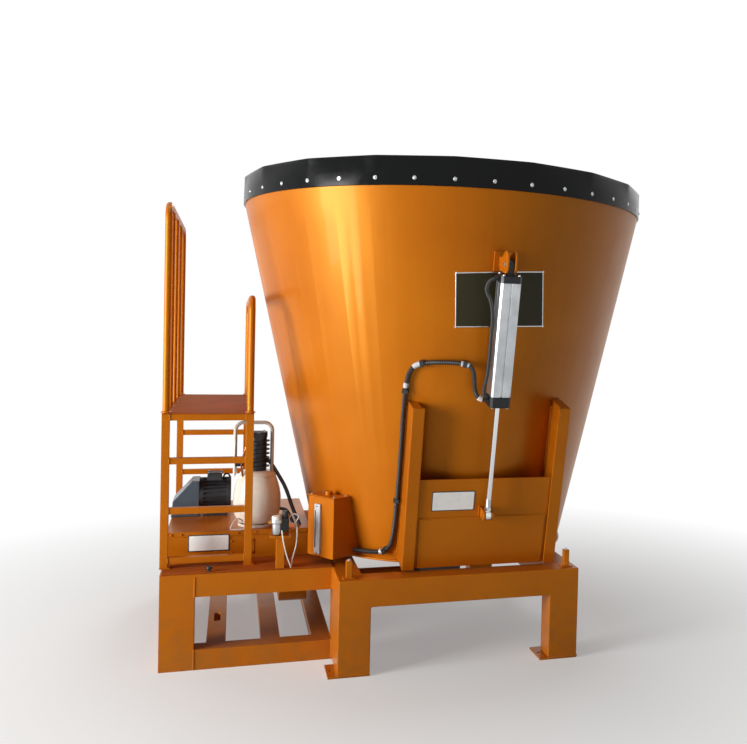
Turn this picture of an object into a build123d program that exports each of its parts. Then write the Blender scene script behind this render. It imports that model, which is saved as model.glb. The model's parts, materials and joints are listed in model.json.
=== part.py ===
"""Stationary vertical-auger feed mixer on a welded frame, in millimetres, +Z up.

An open, tapered tub with one upright auger stands on load cells on a four-legged frame. A door in
two deep rails closes the outlet on the front, -Y, and a straight actuator lifts it along the
tub's slope. A lower frame on the left, -X, carries the motor, a small air compressor and a step
stand with a platform to look into the tub. Places are worked out from the tub's axis, and every
part is then moved so that the whole stands with the middle of its outline over the origin.
"""

import math
import os

from build123d import *

os.makedirs("parts", exist_ok=True)

# Tub: outer radii at the floor and under the rim band, heights above the ground
floor_z = 508
floor_r = 722
floor_t = 10
floor_lip = 13
wall_top_z = 2392
wall_top_r = 1141.7
wall_t = 8
collar_h = 60
band_t = 8
band_h = 144
band_gap = 0.3

# Main frame: rectangular tube, centred a little left of the tub's axis
frame_x = -53
frame_w = 1256
frame_d = 1746
frame_top = 478
leg_w = 160
leg_d = 126
beam_h = 137
web_t = 10
foot_out = 45
foot_d = 172
foot_t = 10
foot_hole_r = 9

# Drive frame on the left, closed at the bottom, with three floor members, one of them slotted
drive_front = 598
drive_leg_w = 163
drive_leg_d = 100
drive_top_h = 113
drive_low_h = 101
member_w = 95
member_from_left = (218, 486)
slot_w = 34
slot_l = 150
slot_y = (-92, 392)
deck_t = 6
deck_inset = 8

# Housing of the belt drive on the deck, and the guard below it
housing_inset = 11
housing_gap = 43
housing_front = -338
housing_back = 520
housing_h = 148
lid_h = 26
lid_t = 3
cover_span = (238, 438)
cover_inset = 20
cover_t = 3
guard_w = 150
guard_d = 300
guard_z = 170
guard_round = 60

# Gearbox under the floor, and the guard tube of its input shaft
gear_flange_r = 230
gear_flange_t = 22
gear_body_r = 170
gear_body_h = 130
gear_box_w = 240
gear_box_h = 150
gear_rib_t = 14
gear_ribs = 6
gear_input_l = 60
gear_input_r = 71
hub_r = 140
hub_seat = 0.3
shaft_z = 258
shaft_r = 45
shaft_collar_r = 62
shaft_collar_l = 24

# Weighing cells between the tub's floor and the side beams, and locking lugs at the corners
cell_r = 42
cell_waist = 30
cell_flange_t = 6
cell_y = 300
lug_in_x = 54
lug_in_y = 59
lug_w = 30
lug_top = 566
lug_plate_w = 60
lug_plate_t = 6

# Outlet, door and rails, along the slope of the tub's front
door_x = 56
door_w = 714
door_bottom = -3
door_h = 481
door_t = 8
door_off = 36
door_travel = 390
clevis_reach = 6
doubler_h = 269
doubler_inset = 20
doubler_t = 5
outlet_w = 600
outlet_h = 400
outlet_up = 14
outlet_cut = 150
rail_gap = 6
rail_w = 48
rail_bottom = -9
rail_top = 858
rail_front = 58
rail_back = -260
lip_w = 14
lip_t = 8

# Actuator: all along the slope, in front of the door's middle
cyl_off = 102
cyl_side = 2
pin_r = 10
pin_clear = 0.3
door_pin_s = 301
tub_pin_s = 1589
barrel_w = 100
barrel_low = 943
barrel_high = 1506
cap_w = 104
cap_back = 2
low_cap_l = 54
top_cap_l = 34
rod_r = 13
rod_clear = 0.4
rod_hidden = 90
nut_w = 40
nut_l = 16
nut_up = 30
rod_end_room = 20
barrel_corner = 9
cap_corner = 12
groove_w = 8
groove_d = 7
eye_w = 26
eye_r = 24
ear_t = 10
ear_gap = 2
bracket_w = 109
bracket_h = 96
bracket_t = 8
bracket_root = 6
bracket_reach = 8

# Auger
hub_clear = 6
core_r = 225
core_top_r = 95
core_top_z = 1790
flight_r = 640
flight_top_r = 250
flight_t = 12
flight_turns = 2.25
flight_z = 534
flight_top_z = 1700
flight_steps = 18
flight_root = 6
knife_l = 190
knife_w = 62
knife_out = 44
knife_t = 8
knife_edge = 5
knife_tip = 30
knife_turns = (0.12, 0.42, 0.72, 1.02, 1.32, 1.62)
kicker_h = 210
kicker_t = 14
kicker_root = 10
kicker_short = 20
kicker_turn = 188

# Step stand beside the tub: front and rear ladders, platform and handrails
stand_gap = 57.14
stand_overhang = 9
step_w = 442
step_front = -486
step_back = 813
step_top = 1267
post_w = 38
rung_h = 32
rung_in = 3
rung_z = (506, 757, 1009)
pad_w = 60
pad_t = 5
pad_short = 11
plate_t = 6
rail_tube_r = 17
bar_r = 12
left_rail_top = 2325
right_rail_top = 1872
bend_r = 70

# Motor on the housing
motor_from_left = 156
motor_l = 170
motor_y = 150
motor_r = 95
motor_fins = 24
fin_h = 11
fin_share = 0.4
shield_l = 22
motor_foot_in = 20
motor_foot_w = 180
motor_foot_t = 14
motor_rib_in = 40
motor_rib_w = 120
box_in = 40
box_l = 80
box_w = 90
box_root = 14
box_h = 26
motor_axis_h = 112
cowl_l = 150
cowl_h = 200
cowl_d = 190
cowl_crown = 40
cowl_toe = 10
cowl_knee = 90

# Compressor on the housing
tank_from_left = 462
tank_y = -206
tank_r = 126
tank_h = 285
tank_foot = 14
tank_dome = 40
tank_shoulder = 26
tank_crown = 8
foot_out_r = 98
foot_in_r = 86
handle_span = (-118, 74)
handle_top = 1200
handle_r = 10
handle_low = 60
handle_bend = 45
pump_r = 62
pump_high = 1140
pump_core_r = 46
pump_fins = 7
pump_fin_t = 5
head_w = 96
head_h = 26
filter_r = 22
filter_l = 46

# Air unit on its post at the deck's front edge
air_from_left = 570
air_in = 26
air_post_w = 42
air_plate_w = 104
air_plate_z = 640
air_plate_t = 12
air_plate_front = 30
air_plate_back = 45
air_back_w = 55
air_back_t = 12
air_back_h = 110
air_bowl_x = -18
air_bowl_r = 24
air_bowl_h = 100
air_collar_r = 30
air_collar_z = 58
air_collar_h = 34
air_block_x = 40
air_block_d = 36
air_block_z = (20, 84)
air_knob_x = 22
air_knob_r = 16
air_knob_h = 40

# Oil tank on the tub, at an angle round it from the front
oil_turn = 55.4
oil_w = 203
oil_depth = 178
oil_low = 514
oil_high = 834
oil_lid_t = 6
oil_lid_out = 5
filler_r = 20
filler_h = 20
gauge_w = 30
gauge_t = 14
gauge_at = -16
gauge_low = 530
gauge_high = 790

# Conduit from the actuator down to the oil tank: distance across, height, distance off the wall
conduit_r = 11
conduit_route = [
    (16, 1378, 90),
    (-28, 1381, 86),
    (-55, 1412, 78),
    (-60, 1480, 64),
    (-62, 1520, 44),
    (-78, 1548, 29),
    (-124, 1557, 20),
    (-194, 1560, 18),
    (-274, 1557, 18),
    (-340, 1545, 18),
    (-372, 1490, 18),
    (-378, 1330, 17),
    (-376, 1117, 16),
    (-377, 937, 16),
    (-380, 741, 16),
    (-386, 630, 17),
    (-402, 572, 20),
    (-446, 547, 24),
    (-512, 545, 32),
    (-578, 542, 30),
]
clip_runs = (5, 8, 10, 13, 16)
clip_l = 20
clip_t = 3
clip_clear = 0.8
bend_share = 0.45

# Hose up the barrel's left side: distance across from its middle, and along the slope
hose_r = 7
hose_route = [
    (-40, 930),
    (-70, 934),
    (-80, 966),
    (-66, 1030),
    (-63, 1130),
    (-64, 1230),
    (-63, 1330),
    (-78, 1410),
    (-112, 1462),
    (-98, 1506),
    (-68, 1523),
    (-40, 1524),
]

slope = math.atan((wall_top_r - floor_r) / (wall_top_z - floor_z))
top_r = wall_top_r + band_gap + band_t
frame_left = frame_x - frame_w / 2
frame_right = frame_x + frame_w / 2
stand_r = floor_r + (right_rail_top - floor_z) * math.tan(slope)
step_left = -(stand_r + stand_gap + step_w)
drive_left = step_left + stand_overhang
oil_front_r = floor_r + oil_depth
deck_top = frame_top + deck_t
housing_top = deck_top + housing_h
cyl_x = door_x + cyl_side
cap_high = (barrel_high + top_cap_l) * math.sin(slope)
actuator_front = floor_r + cap_high + (cyl_off + cap_w / 2) * math.cos(slope)

# The whole is moved so that the middle of its outline stands over the origin
shift_x = -(step_left + top_r) / 2
shift_y = (actuator_front - top_r) / 2


def save(name, *pieces):
    """Writes a node to its own file, each of its pieces moved to the outline's middle."""
    moved = [Pos(shift_x, shift_y, 0) * piece for piece in pieces]
    export_step(moved[0] if len(moved) == 1 else Compound(children=moved), f"parts/{name}.step")


def block(x0, x1, y0, y1, z0, z1):
    """A box between two limits on each axis."""
    return Pos((x0 + x1) / 2, (y0 + y1) / 2, (z0 + z1) / 2) * Box(x1 - x0, y1 - y0, z1 - z0)


def bar(start, end, r):
    """A round bar from one point to another."""
    run = Vector(*end) - Vector(*start)
    return Plane(origin=start, z_dir=run) * Pos(0, 0, run.length / 2) * Cylinder(r, run.length)


def tub_radius(z):
    """The tub's outer radius at a height."""
    return floor_r + (z - floor_z) * math.tan(slope)


def bent_tube(points, r, bend):
    """A round tube along straight runs with one bend radius."""
    path = FilletPolyline(*points, radius=bend)
    return sweep(Plane(origin=path @ 0, z_dir=path % 0) * Circle(r), path=path)


# Along the slope: x across the front, y up the slope from the floor, z outwards
front = Plane(origin=(door_x, -floor_r, floor_z), x_dir=(1, 0, 0),
              z_dir=(0, -math.cos(slope), -math.sin(slope)))
lift = Plane(origin=(cyl_x, -floor_r, floor_z), x_dir=(1, 0, 0), z_dir=front.z_dir)
tub_solid = Pos(0, 0, (floor_z + wall_top_z) / 2) * Cone(floor_r, wall_top_r, wall_top_z - floor_z)


def make_tub():
    """Wall, floor, sill and rim band."""
    inner = wall_t / math.cos(slope)
    section = Polyline(
        (floor_r, floor_z), (wall_top_r, wall_top_z), (wall_top_r, wall_top_z + collar_h),
        (wall_top_r - wall_t, wall_top_z + collar_h), (wall_top_r - wall_t, wall_top_z),
        (floor_r - inner, floor_z), close=True)
    wall = revolve(Plane.XZ * make_face(section), axis=Axis.Z)
    wall -= front * block(-outlet_w / 2, outlet_w / 2, outlet_up, outlet_up + outlet_h,
                          -outlet_cut, outlet_cut)
    save("tub_wall", wall)
    disc = Pos(0, 0, floor_z - floor_t / 2) * Cylinder(floor_r + floor_lip, floor_t)
    save("tub_floor", disc - Pos(0, 0, floor_z) * Cylinder(hub_r, 4 * floor_t))
    band = Pos(0, 0, wall_top_z + band_h / 2) * (
        Cylinder(top_r, band_h) - Cylinder(top_r - band_t, band_h))
    save("rim_band", band)
    sill_y = -(floor_r + door_off - rail_gap)
    half = door_w / 2 + rail_gap
    sill = block(door_x - half, door_x + half, sill_y, -floor_r / 2, floor_z - floor_t, floor_z)
    save("outlet_sill", sill - disc)


def make_main_frame():
    """Four legs, beams round the top, and a web plate behind each left leg."""
    low = foot_t
    parts = []
    for side in (-1, 1):
        y_out = side * frame_d / 2
        y_in = side * (frame_d / 2 - leg_d)
        ys = sorted((y_out, y_in))
        parts.append(block(frame_left, frame_left + leg_w, *ys, low, frame_top))
        parts.append(block(frame_right - leg_w, frame_right, *ys, low, frame_top))
        parts.append(block(frame_left, frame_right, *ys, frame_top - beam_h, frame_top))
    half = frame_d / 2 - leg_d
    for x in (frame_left, frame_right - leg_d):
        parts.append(block(x, x + leg_d, -half, half, frame_top - beam_h, frame_top))
    web_end = drive_leg_d - drive_front
    parts.append(block(frame_left, frame_left + web_t, -half, web_end, low, frame_top))
    frame = parts[0].fuse(*parts[1:])
    save("main_frame", frame)
    feet = []
    for x, side in ((frame_left, -1), (frame_left, 1), (frame_right - leg_w, -1), (frame_right - leg_w, 1)):
        y = side * frame_d / 2
        ys = sorted((y, y - side * foot_d))
        inwards = x == frame_left and side == 1
        x0 = x if inwards else x - foot_out
        hole_x = x + leg_w + foot_out / 2 if inwards else x - foot_out / 2
        foot = block(x0, x0 + leg_w + foot_out, *ys, 0, foot_t)
        feet.append(foot - Pos(hole_x, y - side * foot_d / 2, 0) * Cylinder(foot_hole_r, 3 * foot_t))
    save("foot_plates", *feet)


def make_drive_frame():
    """Closed frame on the left with low floor members, and its deck plate."""
    y0, y1 = -drive_front, frame_d / 2
    top, low = frame_top, drive_low_h
    parts = []
    for ya, yb in ((y0, y0 + drive_leg_d), (y1 - drive_leg_d, y1)):
        parts.append(block(drive_left, drive_left + drive_leg_w, ya, yb, 0, top))
        parts.append(block(drive_left, frame_left, ya, yb, top - drive_top_h, top))
        parts.append(block(drive_left, frame_left, ya, yb, 0, low))
    ya, yb = y0 + drive_leg_d, y1 - drive_leg_d
    parts.append(block(drive_left, drive_left + drive_leg_d, ya, yb, top - drive_top_h, top))
    parts.append(block(drive_left, drive_left + drive_leg_d, ya, yb, 0, low))
    members = [block(drive_left + x, drive_left + x + member_w, ya, yb, low / 2, low)
               for x in member_from_left]
    for y in slot_y:
        middle = drive_left + member_from_left[0] + member_w / 2
        slot = extrude(Pos(middle, y, low / 2) * Rot(0, 0, 90) * SlotOverall(slot_l, slot_w), amount=low)
        members[0] -= slot
    members.append(block(frame_left - member_w, frame_left, ya, yb, low / 2, low))
    save("drive_frame", parts[0].fuse(*parts[1:], *members))
    deck = block(drive_left + deck_inset, frame_left, y0 + deck_inset, y1 - deck_inset, top, deck_top)
    save("drive_deck", deck)


def make_drive():
    """Belt housing on the deck, guard below, shaft guard and gearbox."""
    x0, x1 = drive_left + housing_inset, -(floor_r + floor_lip + housing_gap)
    housing = block(x0 + lid_t, x1 - lid_t, housing_front + lid_t, housing_back - lid_t, deck_top, housing_top)
    housing += block(x0, x1, housing_front, housing_back, housing_top - lid_h, housing_top)
    cover_low, cover_high = deck_top + cover_inset, housing_top - lid_h - cover_inset
    housing += block(x0 + cover_span[0], x0 + cover_span[1], housing_front + lid_t - cover_t,
                     housing_front + lid_t, cover_low, cover_high)
    save("drive_housing", housing)
    right = frame_left - member_w
    guard = block(right - guard_w, right, -guard_d / 2, guard_d / 2, guard_z, frame_top)
    guard = fillet(guard.edges().filter_by(Axis.X).group_by(Axis.Z)[0], guard_round)
    save("belt_guard", guard)
    under = floor_z - floor_t
    body_low = under - gear_flange_t - gear_body_h
    gear = Pos(0, 0, under - gear_flange_t / 2) * Cylinder(gear_flange_r, gear_flange_t)
    gear += Pos(0, 0, body_low + gear_body_h / 2) * Cylinder(gear_body_r, gear_body_h)
    gear += bar((0, 0, under), (0, 0, floor_z + hub_clear - hub_seat), hub_r)
    for i in range(gear_ribs):
        rib = block(0, (gear_flange_r + gear_body_r) / 2, -gear_rib_t / 2, gear_rib_t / 2,
                    body_low, under - gear_flange_t)
        gear += Rot(0, 0, (i + 0.5) * 360 / gear_ribs) * rib
    half = gear_box_w / 2
    end = -half - gear_input_l
    gear += block(-half, half, -half, half, body_low - gear_box_h / 2, body_low)
    gear += bar((end, 0, shaft_z), (half, 0, shaft_z), gear_input_r)
    save("gearbox", gear)
    tube = bar((right, 0, shaft_z), (end, 0, shaft_z), shaft_r)
    tube += bar((end - shaft_collar_l, 0, shaft_z), (end, 0, shaft_z), shaft_collar_r)
    save("shaft_guard", tube)


def make_weighing():
    """Four weighing cells on the side beams, and a locking lug at each corner of the frame."""
    cells = []
    lugs = []
    under = floor_z - floor_t
    for sx in (-1, 1):
        for sy in (-1, 1):
            x = frame_x + sx * (frame_w - leg_d) / 2
            cell = bar((x, sy * cell_y, frame_top), (x, sy * cell_y, under), cell_waist)
            for z in (frame_top, under - cell_flange_t):
                cell += bar((x, sy * cell_y, z), (x, sy * cell_y, z + cell_flange_t), cell_r)
            cells.append(cell)
            x = frame_x + sx * (frame_w / 2 - lug_in_x)
            y = sy * (frame_d / 2 - lug_in_y)
            half = lug_plate_w / 2
            lug = block(x - half, x + half, y - half, y + half, frame_top, frame_top + lug_plate_t)
            half = lug_w / 2
            lug += block(x - half, x + half, y - half, y + half, frame_top, lug_top)
            lugs.append(lug)
    save("weigh_cells", *cells)
    save("frame_lugs", *lugs)


def make_door():
    """Rails on the tub, and the door panel with its clevis and pin."""
    inner = door_w / 2 + rail_gap
    for name, side in (("door_rail_left", -1), ("door_rail_right", 1)):
        xs = sorted((side * inner, side * (inner + rail_w)))
        rail = block(*xs, rail_bottom, rail_top, rail_back, rail_front)
        lips = sorted((side * inner, side * (inner - lip_w)))
        rail += block(*lips, rail_bottom, rail_top, rail_front - lip_t, rail_front)
        save(name, front * rail - tub_solid)
    half = door_w / 2
    face = door_off + door_t
    panel = block(-half, half, door_bottom, door_bottom + door_h, door_off, face)
    inset = half - doubler_inset
    panel += block(-inset, inset, door_bottom, doubler_h, face, face + doubler_t)
    save("door_panel", front * panel)
    ears = []
    for side in (-1, 1):
        x0, x1 = sorted((side * (eye_w / 2 + ear_gap), side * (eye_w / 2 + ear_gap + ear_t)))
        ear = block(x0, x1, door_pin_s - eye_r, door_pin_s + eye_r, face, cyl_off)
        ear += bar((x0, door_pin_s, cyl_off), (x1, door_pin_s, cyl_off), eye_r)
        ears.append(ear)
    reach = eye_w / 2 + ear_gap + ear_t + clevis_reach
    ears.append(bar((-reach, door_pin_s, cyl_off), (reach, door_pin_s, cyl_off), pin_r))
    save("door_clevis", lift * ears[0].fuse(*ears[1:]))


def make_actuator():
    """Bracket and top pin, barrel, end caps and rod, all along the slope; gives back both caps."""
    reach = eye_w / 2 + ear_gap + ear_t + bracket_reach
    base = block(-bracket_w / 2, bracket_w / 2, tub_pin_s - bracket_h / 2, tub_pin_s + bracket_h / 2,
                 -bracket_root, bracket_t)
    ears = [base]
    for side in (-1, 1):
        x0, x1 = sorted((side * (eye_w / 2 + ear_gap), side * (eye_w / 2 + ear_gap + ear_t)))
        ear = block(x0, x1, tub_pin_s - eye_r, tub_pin_s + eye_r, 0, cyl_off)
        ear += bar((x0, tub_pin_s, cyl_off), (x1, tub_pin_s, cyl_off), eye_r)
        ears.append(ear)
    bracket = ears[0].fuse(*ears[1:])
    bracket -= bar((-reach, tub_pin_s, cyl_off), (reach, tub_pin_s, cyl_off), pin_r)
    save("actuator_bracket", lift * bracket - tub_solid)
    pin = bar((-reach, tub_pin_s, cyl_off), (reach, tub_pin_s, cyl_off), pin_r)
    save("bracket_pin", lift * pin)

    half = barrel_w / 2
    bore = rod_r + rod_clear
    low_end = barrel_low - low_cap_l
    bore_end = low_end + rod_hidden + door_travel + rod_end_room
    hollow = bar((0, low_end - 1, cyl_off), (0, bore_end, cyl_off), bore)
    barrel = block(-half, half, barrel_low, barrel_high, cyl_off - half, cyl_off + half)
    barrel = chamfer(barrel.edges().filter_by(Axis.Y), barrel_corner)
    groove = block(-groove_w / 2, groove_w / 2, barrel_low, barrel_high, half - groove_d, half)
    for turn in (-90, 0, 90, 180):
        barrel -= Pos(0, 0, cyl_off) * Rot(0, turn, 0) * groove
    save("actuator_barrel", lift * (barrel - hollow))

    half = cap_w / 2
    low_cap = block(-half, half, low_end, barrel_low, cyl_off - half + cap_back, cyl_off + half)
    low_cap = chamfer(low_cap.edges().filter_by(Axis.Y), cap_corner) - hollow
    save("actuator_low_cap", lift * low_cap)
    top_cap = block(-half, half, barrel_high, barrel_high + top_cap_l, cyl_off - half + cap_back,
                    cyl_off + half)
    top_cap = chamfer(top_cap.edges().filter_by(Axis.Y), cap_corner)
    top_cap += block(-eye_w / 2, eye_w / 2, barrel_high + top_cap_l, tub_pin_s,
                     cyl_off - eye_r, cyl_off + eye_r)
    top_cap += bar((-eye_w / 2, tub_pin_s, cyl_off), (eye_w / 2, tub_pin_s, cyl_off), eye_r)
    top_cap -= bar((-eye_w, tub_pin_s, cyl_off), (eye_w, tub_pin_s, cyl_off), pin_r + pin_clear)
    save("actuator_top_cap", lift * top_cap)

    rod = bar((0, door_pin_s, cyl_off), (0, low_end + rod_hidden, cyl_off), rod_r)
    rod += bar((-eye_w / 2, door_pin_s, cyl_off), (eye_w / 2, door_pin_s, cyl_off), eye_r)
    nut = extrude(RegularPolygon(nut_w / 2, 6), amount=nut_l)
    rod += Pos(0, door_pin_s + nut_up, cyl_off) * Rot(-90, 0, 0) * nut
    rod -= bar((-eye_w, door_pin_s, cyl_off), (eye_w, door_pin_s, cyl_off), pin_r + pin_clear)
    save("actuator_rod", lift * rod)
    return lift * low_cap, lift * top_cap


def flight_at(turns):
    """Angle, height and outer radius of the flight after a number of turns."""
    share = turns / flight_turns
    return (360 * turns, flight_z + share * (flight_top_z - flight_z),
            flight_r + share * (flight_top_r - flight_r))


def make_auger():
    """Tapered core, flight made of pressed sectors, knives and kicker."""
    low = floor_z + hub_clear
    height = core_top_z - low
    core = Pos(0, 0, low + height / 2) * Cone(core_r, core_top_r, height)
    save("auger_core", core)

    rings = []
    steps = round(flight_turns * flight_steps)
    for i in range(steps + 1):
        angle, z, r = flight_at(flight_turns * i / steps)
        inner = core_r + (z - low) / height * (core_top_r - core_r) - flight_root
        turn = Rot(0, 0, angle)
        under, over = z - flight_t / 2, z + flight_t / 2
        corners = ((inner, under), (r, under), (r, over), (inner, over))
        rings.append([(turn * Pos(x, 0, h)).position for x, h in corners])
    facets = [rings[0][::-1], rings[-1]]
    for below, above in zip(rings, rings[1:]):
        for i in range(4):
            j = (i + 1) % 4
            facets.append([below[i], below[j], above[j]])
            facets.append([below[i], above[j], above[i]])
    faces = [Face(Wire.make_polygon(corners)) for corners in facets]
    flight = Solid(Shell(faces)) - core
    save("auger_flight", flight)

    knives = []
    for turns in knife_turns:
        angle, z, r = flight_at(turns)
        inner, outer = r + knife_out - knife_w, r + knife_out
        half = knife_l / 2
        outline = Polyline((inner, -half), (outer - knife_tip, -half), (outer, knife_tip - half),
                           (outer, half), (inner, half - knife_tip), close=True)
        knife = extrude(Pos(0, 0, flight_t / 2) * make_face(outline), amount=knife_t)
        top_edges = knife.edges().group_by(Axis.Z)[-1]
        knife = chamfer(top_edges.sort_by(Axis.X)[-1], knife_edge)
        pitch = math.degrees(math.atan((flight_top_z - flight_z) / flight_turns / (2 * math.pi * r)))
        knife = Pos(0, 0, z) * Rot(0, 0, angle) * Rot(pitch, 0, 0) * knife
        knives.append(knife - flight)
    save("auger_knives", *knives)

    kicker = block(core_r - kicker_root, flight_r - kicker_short, -kicker_t / 2, kicker_t / 2,
                   low, low + kicker_h)
    kicker = Rot(0, 0, kicker_turn) * kicker
    save("auger_kicker", kicker - core)


def make_step_stand():
    """Front and rear ladders, top side rails, platform and two handrails."""
    x0, x1 = step_left, step_left + step_w
    for name, y in (("step_front", step_front), ("step_rear", step_back)):
        ys = sorted((y, y + math.copysign(post_w, -y)))
        parts = []
        for xa in (x0, x1 - post_w):
            parts.append(block(xa, xa + post_w, *ys, deck_top + pad_t, step_top - plate_t))
            mid = sum(ys) / 2
            pad_x = xa + post_w / 2
            parts.append(block(pad_x - pad_w / 2 + pad_short, pad_x + pad_w / 2, mid - pad_w / 2,
                               mid + pad_w / 2, deck_top, deck_top + pad_t))
        for z in rung_z + (step_top - plate_t - rung_h,):
            parts.append(block(x0 + post_w, x1 - post_w, ys[0] + rung_in, ys[1] - rung_in, z, z + rung_h))
        save(name, parts[0].fuse(*parts[1:]))
    y0, y1 = step_front + post_w, step_back - post_w
    low = step_top - plate_t - rung_h
    sides = [block(xa, xa + post_w, y0, y1, low, step_top - plate_t) for xa in (x0, x1 - post_w)]
    save("step_sides", *sides)
    save("step_deck", block(x0, x1, step_front, step_back, step_top - plate_t, step_top))

    y0, y1 = step_front + post_w / 2, step_back - post_w / 2
    for name, x, top, bars in (("handrail_left", x0 + post_w / 2, left_rail_top, 3),
                               ("handrail_right", x1 - post_w / 2, right_rail_top, 1)):
        high = top - rail_tube_r
        points = [(x, y0, step_top), (x, y0, high), (x, y1, high), (x, y1, step_top)]
        rail = bent_tube(points, rail_tube_r, bend_r)
        for i in range(bars):
            y = y0 + (i + 1) * (y1 - y0) / (bars + 1)
            rail += bar((x, y, step_top), (x, y, high), bar_r)
        save(name, rail)


def make_motor():
    """Motor body on feet, terminal box, and the sloping cowl at its end."""
    z = housing_top + motor_axis_h
    x0 = drive_left + motor_from_left
    x1 = x0 + motor_l
    ring = []
    root, gap = motor_r - fin_h, 1 - fin_share
    for i in range(motor_fins):
        for r, turn in ((root, 0), (root, gap), (motor_r, gap), (motor_r, 1)):
            angle = 2 * math.pi * (i + turn) / motor_fins
            ring.append((r * math.cos(angle), r * math.sin(angle)))
    finned = extrude(make_face(Polyline(*ring, close=True)), amount=motor_l)
    body = Plane(origin=(x0, motor_y, z), z_dir=(1, 0, 0)) * finned
    for xa in (x0, x1 - shield_l):
        body += bar((xa, motor_y, z), (xa + shield_l, motor_y, z), motor_r)
    body += block(x0 + motor_foot_in, x1 - motor_foot_in, motor_y - motor_foot_w / 2,
                  motor_y + motor_foot_w / 2, housing_top, housing_top + motor_foot_t)
    body += block(x0 + motor_rib_in, x1 - motor_rib_in, motor_y - motor_rib_w / 2,
                  motor_y + motor_rib_w / 2, housing_top, z)
    body += block(x0 + box_in, x0 + box_in + box_l, motor_y - box_w / 2, motor_y + box_w / 2,
                  z + motor_r - box_root, z + motor_r + box_h)
    save("motor_body", body)
    top = housing_top + cowl_h
    profile = Polyline((x0 - cowl_l, housing_top), (x0, housing_top), (x0, top), (x0 - cowl_crown, top),
                       (x0 - cowl_l + cowl_toe, housing_top + cowl_knee), close=True)
    cowl = extrude(Plane(origin=(0, motor_y + cowl_d / 2, 0), x_dir=(1, 0, 0), z_dir=(0, -1, 0))
                   * make_face(profile), amount=cowl_d)
    save("motor_cowl", cowl)


def make_compressor():
    """Upright tank with domed ends, wire foot, carrying handle and pump head."""
    tank_x = drive_left + tank_from_left
    low = housing_top + tank_foot
    high = low + tank_h
    neck = tank_r - tank_shoulder
    section = make_face(Polyline((0, low), (neck, low), (tank_r, low + tank_dome), (tank_r, high - tank_dome),
                                 (neck, high - tank_crown), (pump_r, high), (0, high), close=True))
    tank = Pos(tank_x, tank_y, 0) * revolve(Plane.XZ * section, axis=Axis.Z)
    save("compressor_tank", tank)
    foot = Pos(tank_x, tank_y, housing_top + tank_foot / 2) * (
        Cylinder(foot_out_r, tank_foot) - Cylinder(foot_in_r, tank_foot))
    save("compressor_foot", foot)
    head_low = pump_high - head_h
    pump = Pos(tank_x, tank_y, (high + head_low) / 2) * Cylinder(pump_core_r, head_low - high)
    step = (head_low - high) / (pump_fins + 1)
    for i in range(pump_fins):
        pump += Pos(tank_x, tank_y, high + (i + 1) * step) * Cylinder(pump_r, pump_fin_t)
    half = head_w / 2
    head = block(tank_x - half, tank_x + half, tank_y - half, tank_y + half, head_low, pump_high)
    pump += chamfer(head.edges().filter_by(Axis.Z), head_w / 6)
    filter_z = pump_high - filter_r
    pump += bar((tank_x, tank_y - half, filter_z), (tank_x, tank_y - half - filter_l, filter_z), filter_r)
    save("compressor_pump", pump)
    x0, x1 = tank_x + handle_span[0], tank_x + handle_span[1]
    points = [(x0, tank_y, high - handle_low), (x0, tank_y, handle_top - handle_r),
              (x1, tank_y, handle_top - handle_r), (x1, tank_y, high - handle_low)]
    handle = bent_tube(points, handle_r, handle_bend)
    save("compressor_handle", handle - tank)


def make_air_unit():
    """Post with a top plate, and the filter and regulator on it."""
    air_x = drive_left + air_from_left
    air_y = air_in - drive_front
    half = air_post_w / 2
    post = block(air_x - half, air_x + half, air_y - half, air_y + half, deck_top, air_plate_z)
    half = air_plate_w / 2
    back = air_y + air_plate_back
    post += block(air_x - half, air_x + half, air_y - air_plate_front, back, air_plate_z,
                  air_plate_z + air_plate_t)
    post += block(air_x + air_plate_back - air_back_w, air_x + air_plate_back, back - air_back_t, back,
                  air_plate_z, air_plate_z + air_back_h)
    save("air_post", post)
    low = air_plate_z + air_plate_t
    x = air_x + air_bowl_x
    unit = bar((x, air_y, low), (x, air_y, low + air_bowl_h), air_bowl_r)
    unit += bar((x, air_y, low + air_collar_z), (x, air_y, low + air_collar_z + air_collar_h), air_collar_r)
    half = air_block_d / 2
    unit += block(x, air_x + air_block_x, air_y - half, air_y + half, low + air_block_z[0],
                  low + air_block_z[1])
    x = air_x + air_knob_x
    unit += bar((x, air_y, low + air_block_z[1]), (x, air_y, low + air_block_z[1] + air_knob_h), air_knob_r)
    save("air_regulator", unit)


def make_oil_tank():
    """Box against the tub's wall with a level gauge on its outer face; gives back the box."""
    turn = math.radians(oil_turn)
    side = Plane(origin=(0, 0, 0), x_dir=(math.cos(turn), -math.sin(turn), 0), z_dir=(0, 0, 1))
    box = side * block(-oil_w / 2, oil_w / 2, -oil_front_r, -floor_r / 2, oil_low, oil_high)
    half = oil_w / 2 + oil_lid_out
    lid = block(-half, half, -oil_front_r - oil_lid_out, -floor_r / 2, oil_high - oil_lid_t, oil_high)
    cap_y = -(oil_front_r + tub_radius(oil_high)) / 2
    cap = bar((0, cap_y, oil_high), (0, cap_y, oil_high + filler_h), filler_r)
    box = box.fuse(side * lid, side * cap) - tub_solid
    save("oil_tank", box)
    gauge = block(gauge_at - gauge_w / 2, gauge_at + gauge_w / 2, -oil_front_r - gauge_t, -oil_front_r,
                  gauge_low, gauge_high)
    save("level_gauge", side * gauge)
    return box


def cord_tube(points, r):
    """A round tube along a route with an arc at each corner, its path and its smallest arc."""
    runs = [b - a for a, b in zip(points, points[1:])]
    radii = []
    for a, b in zip(runs, runs[1:]):
        turn = math.radians(a.get_angle(b))
        radii.append(bend_share * min(a.length, b.length) / math.tan(turn / 2))
    path = FilletPolyline(*points, radius=radii)
    return sweep(Plane(origin=path @ 0, z_dir=path % 0) * Circle(r), path=path), path, min(radii)


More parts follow.
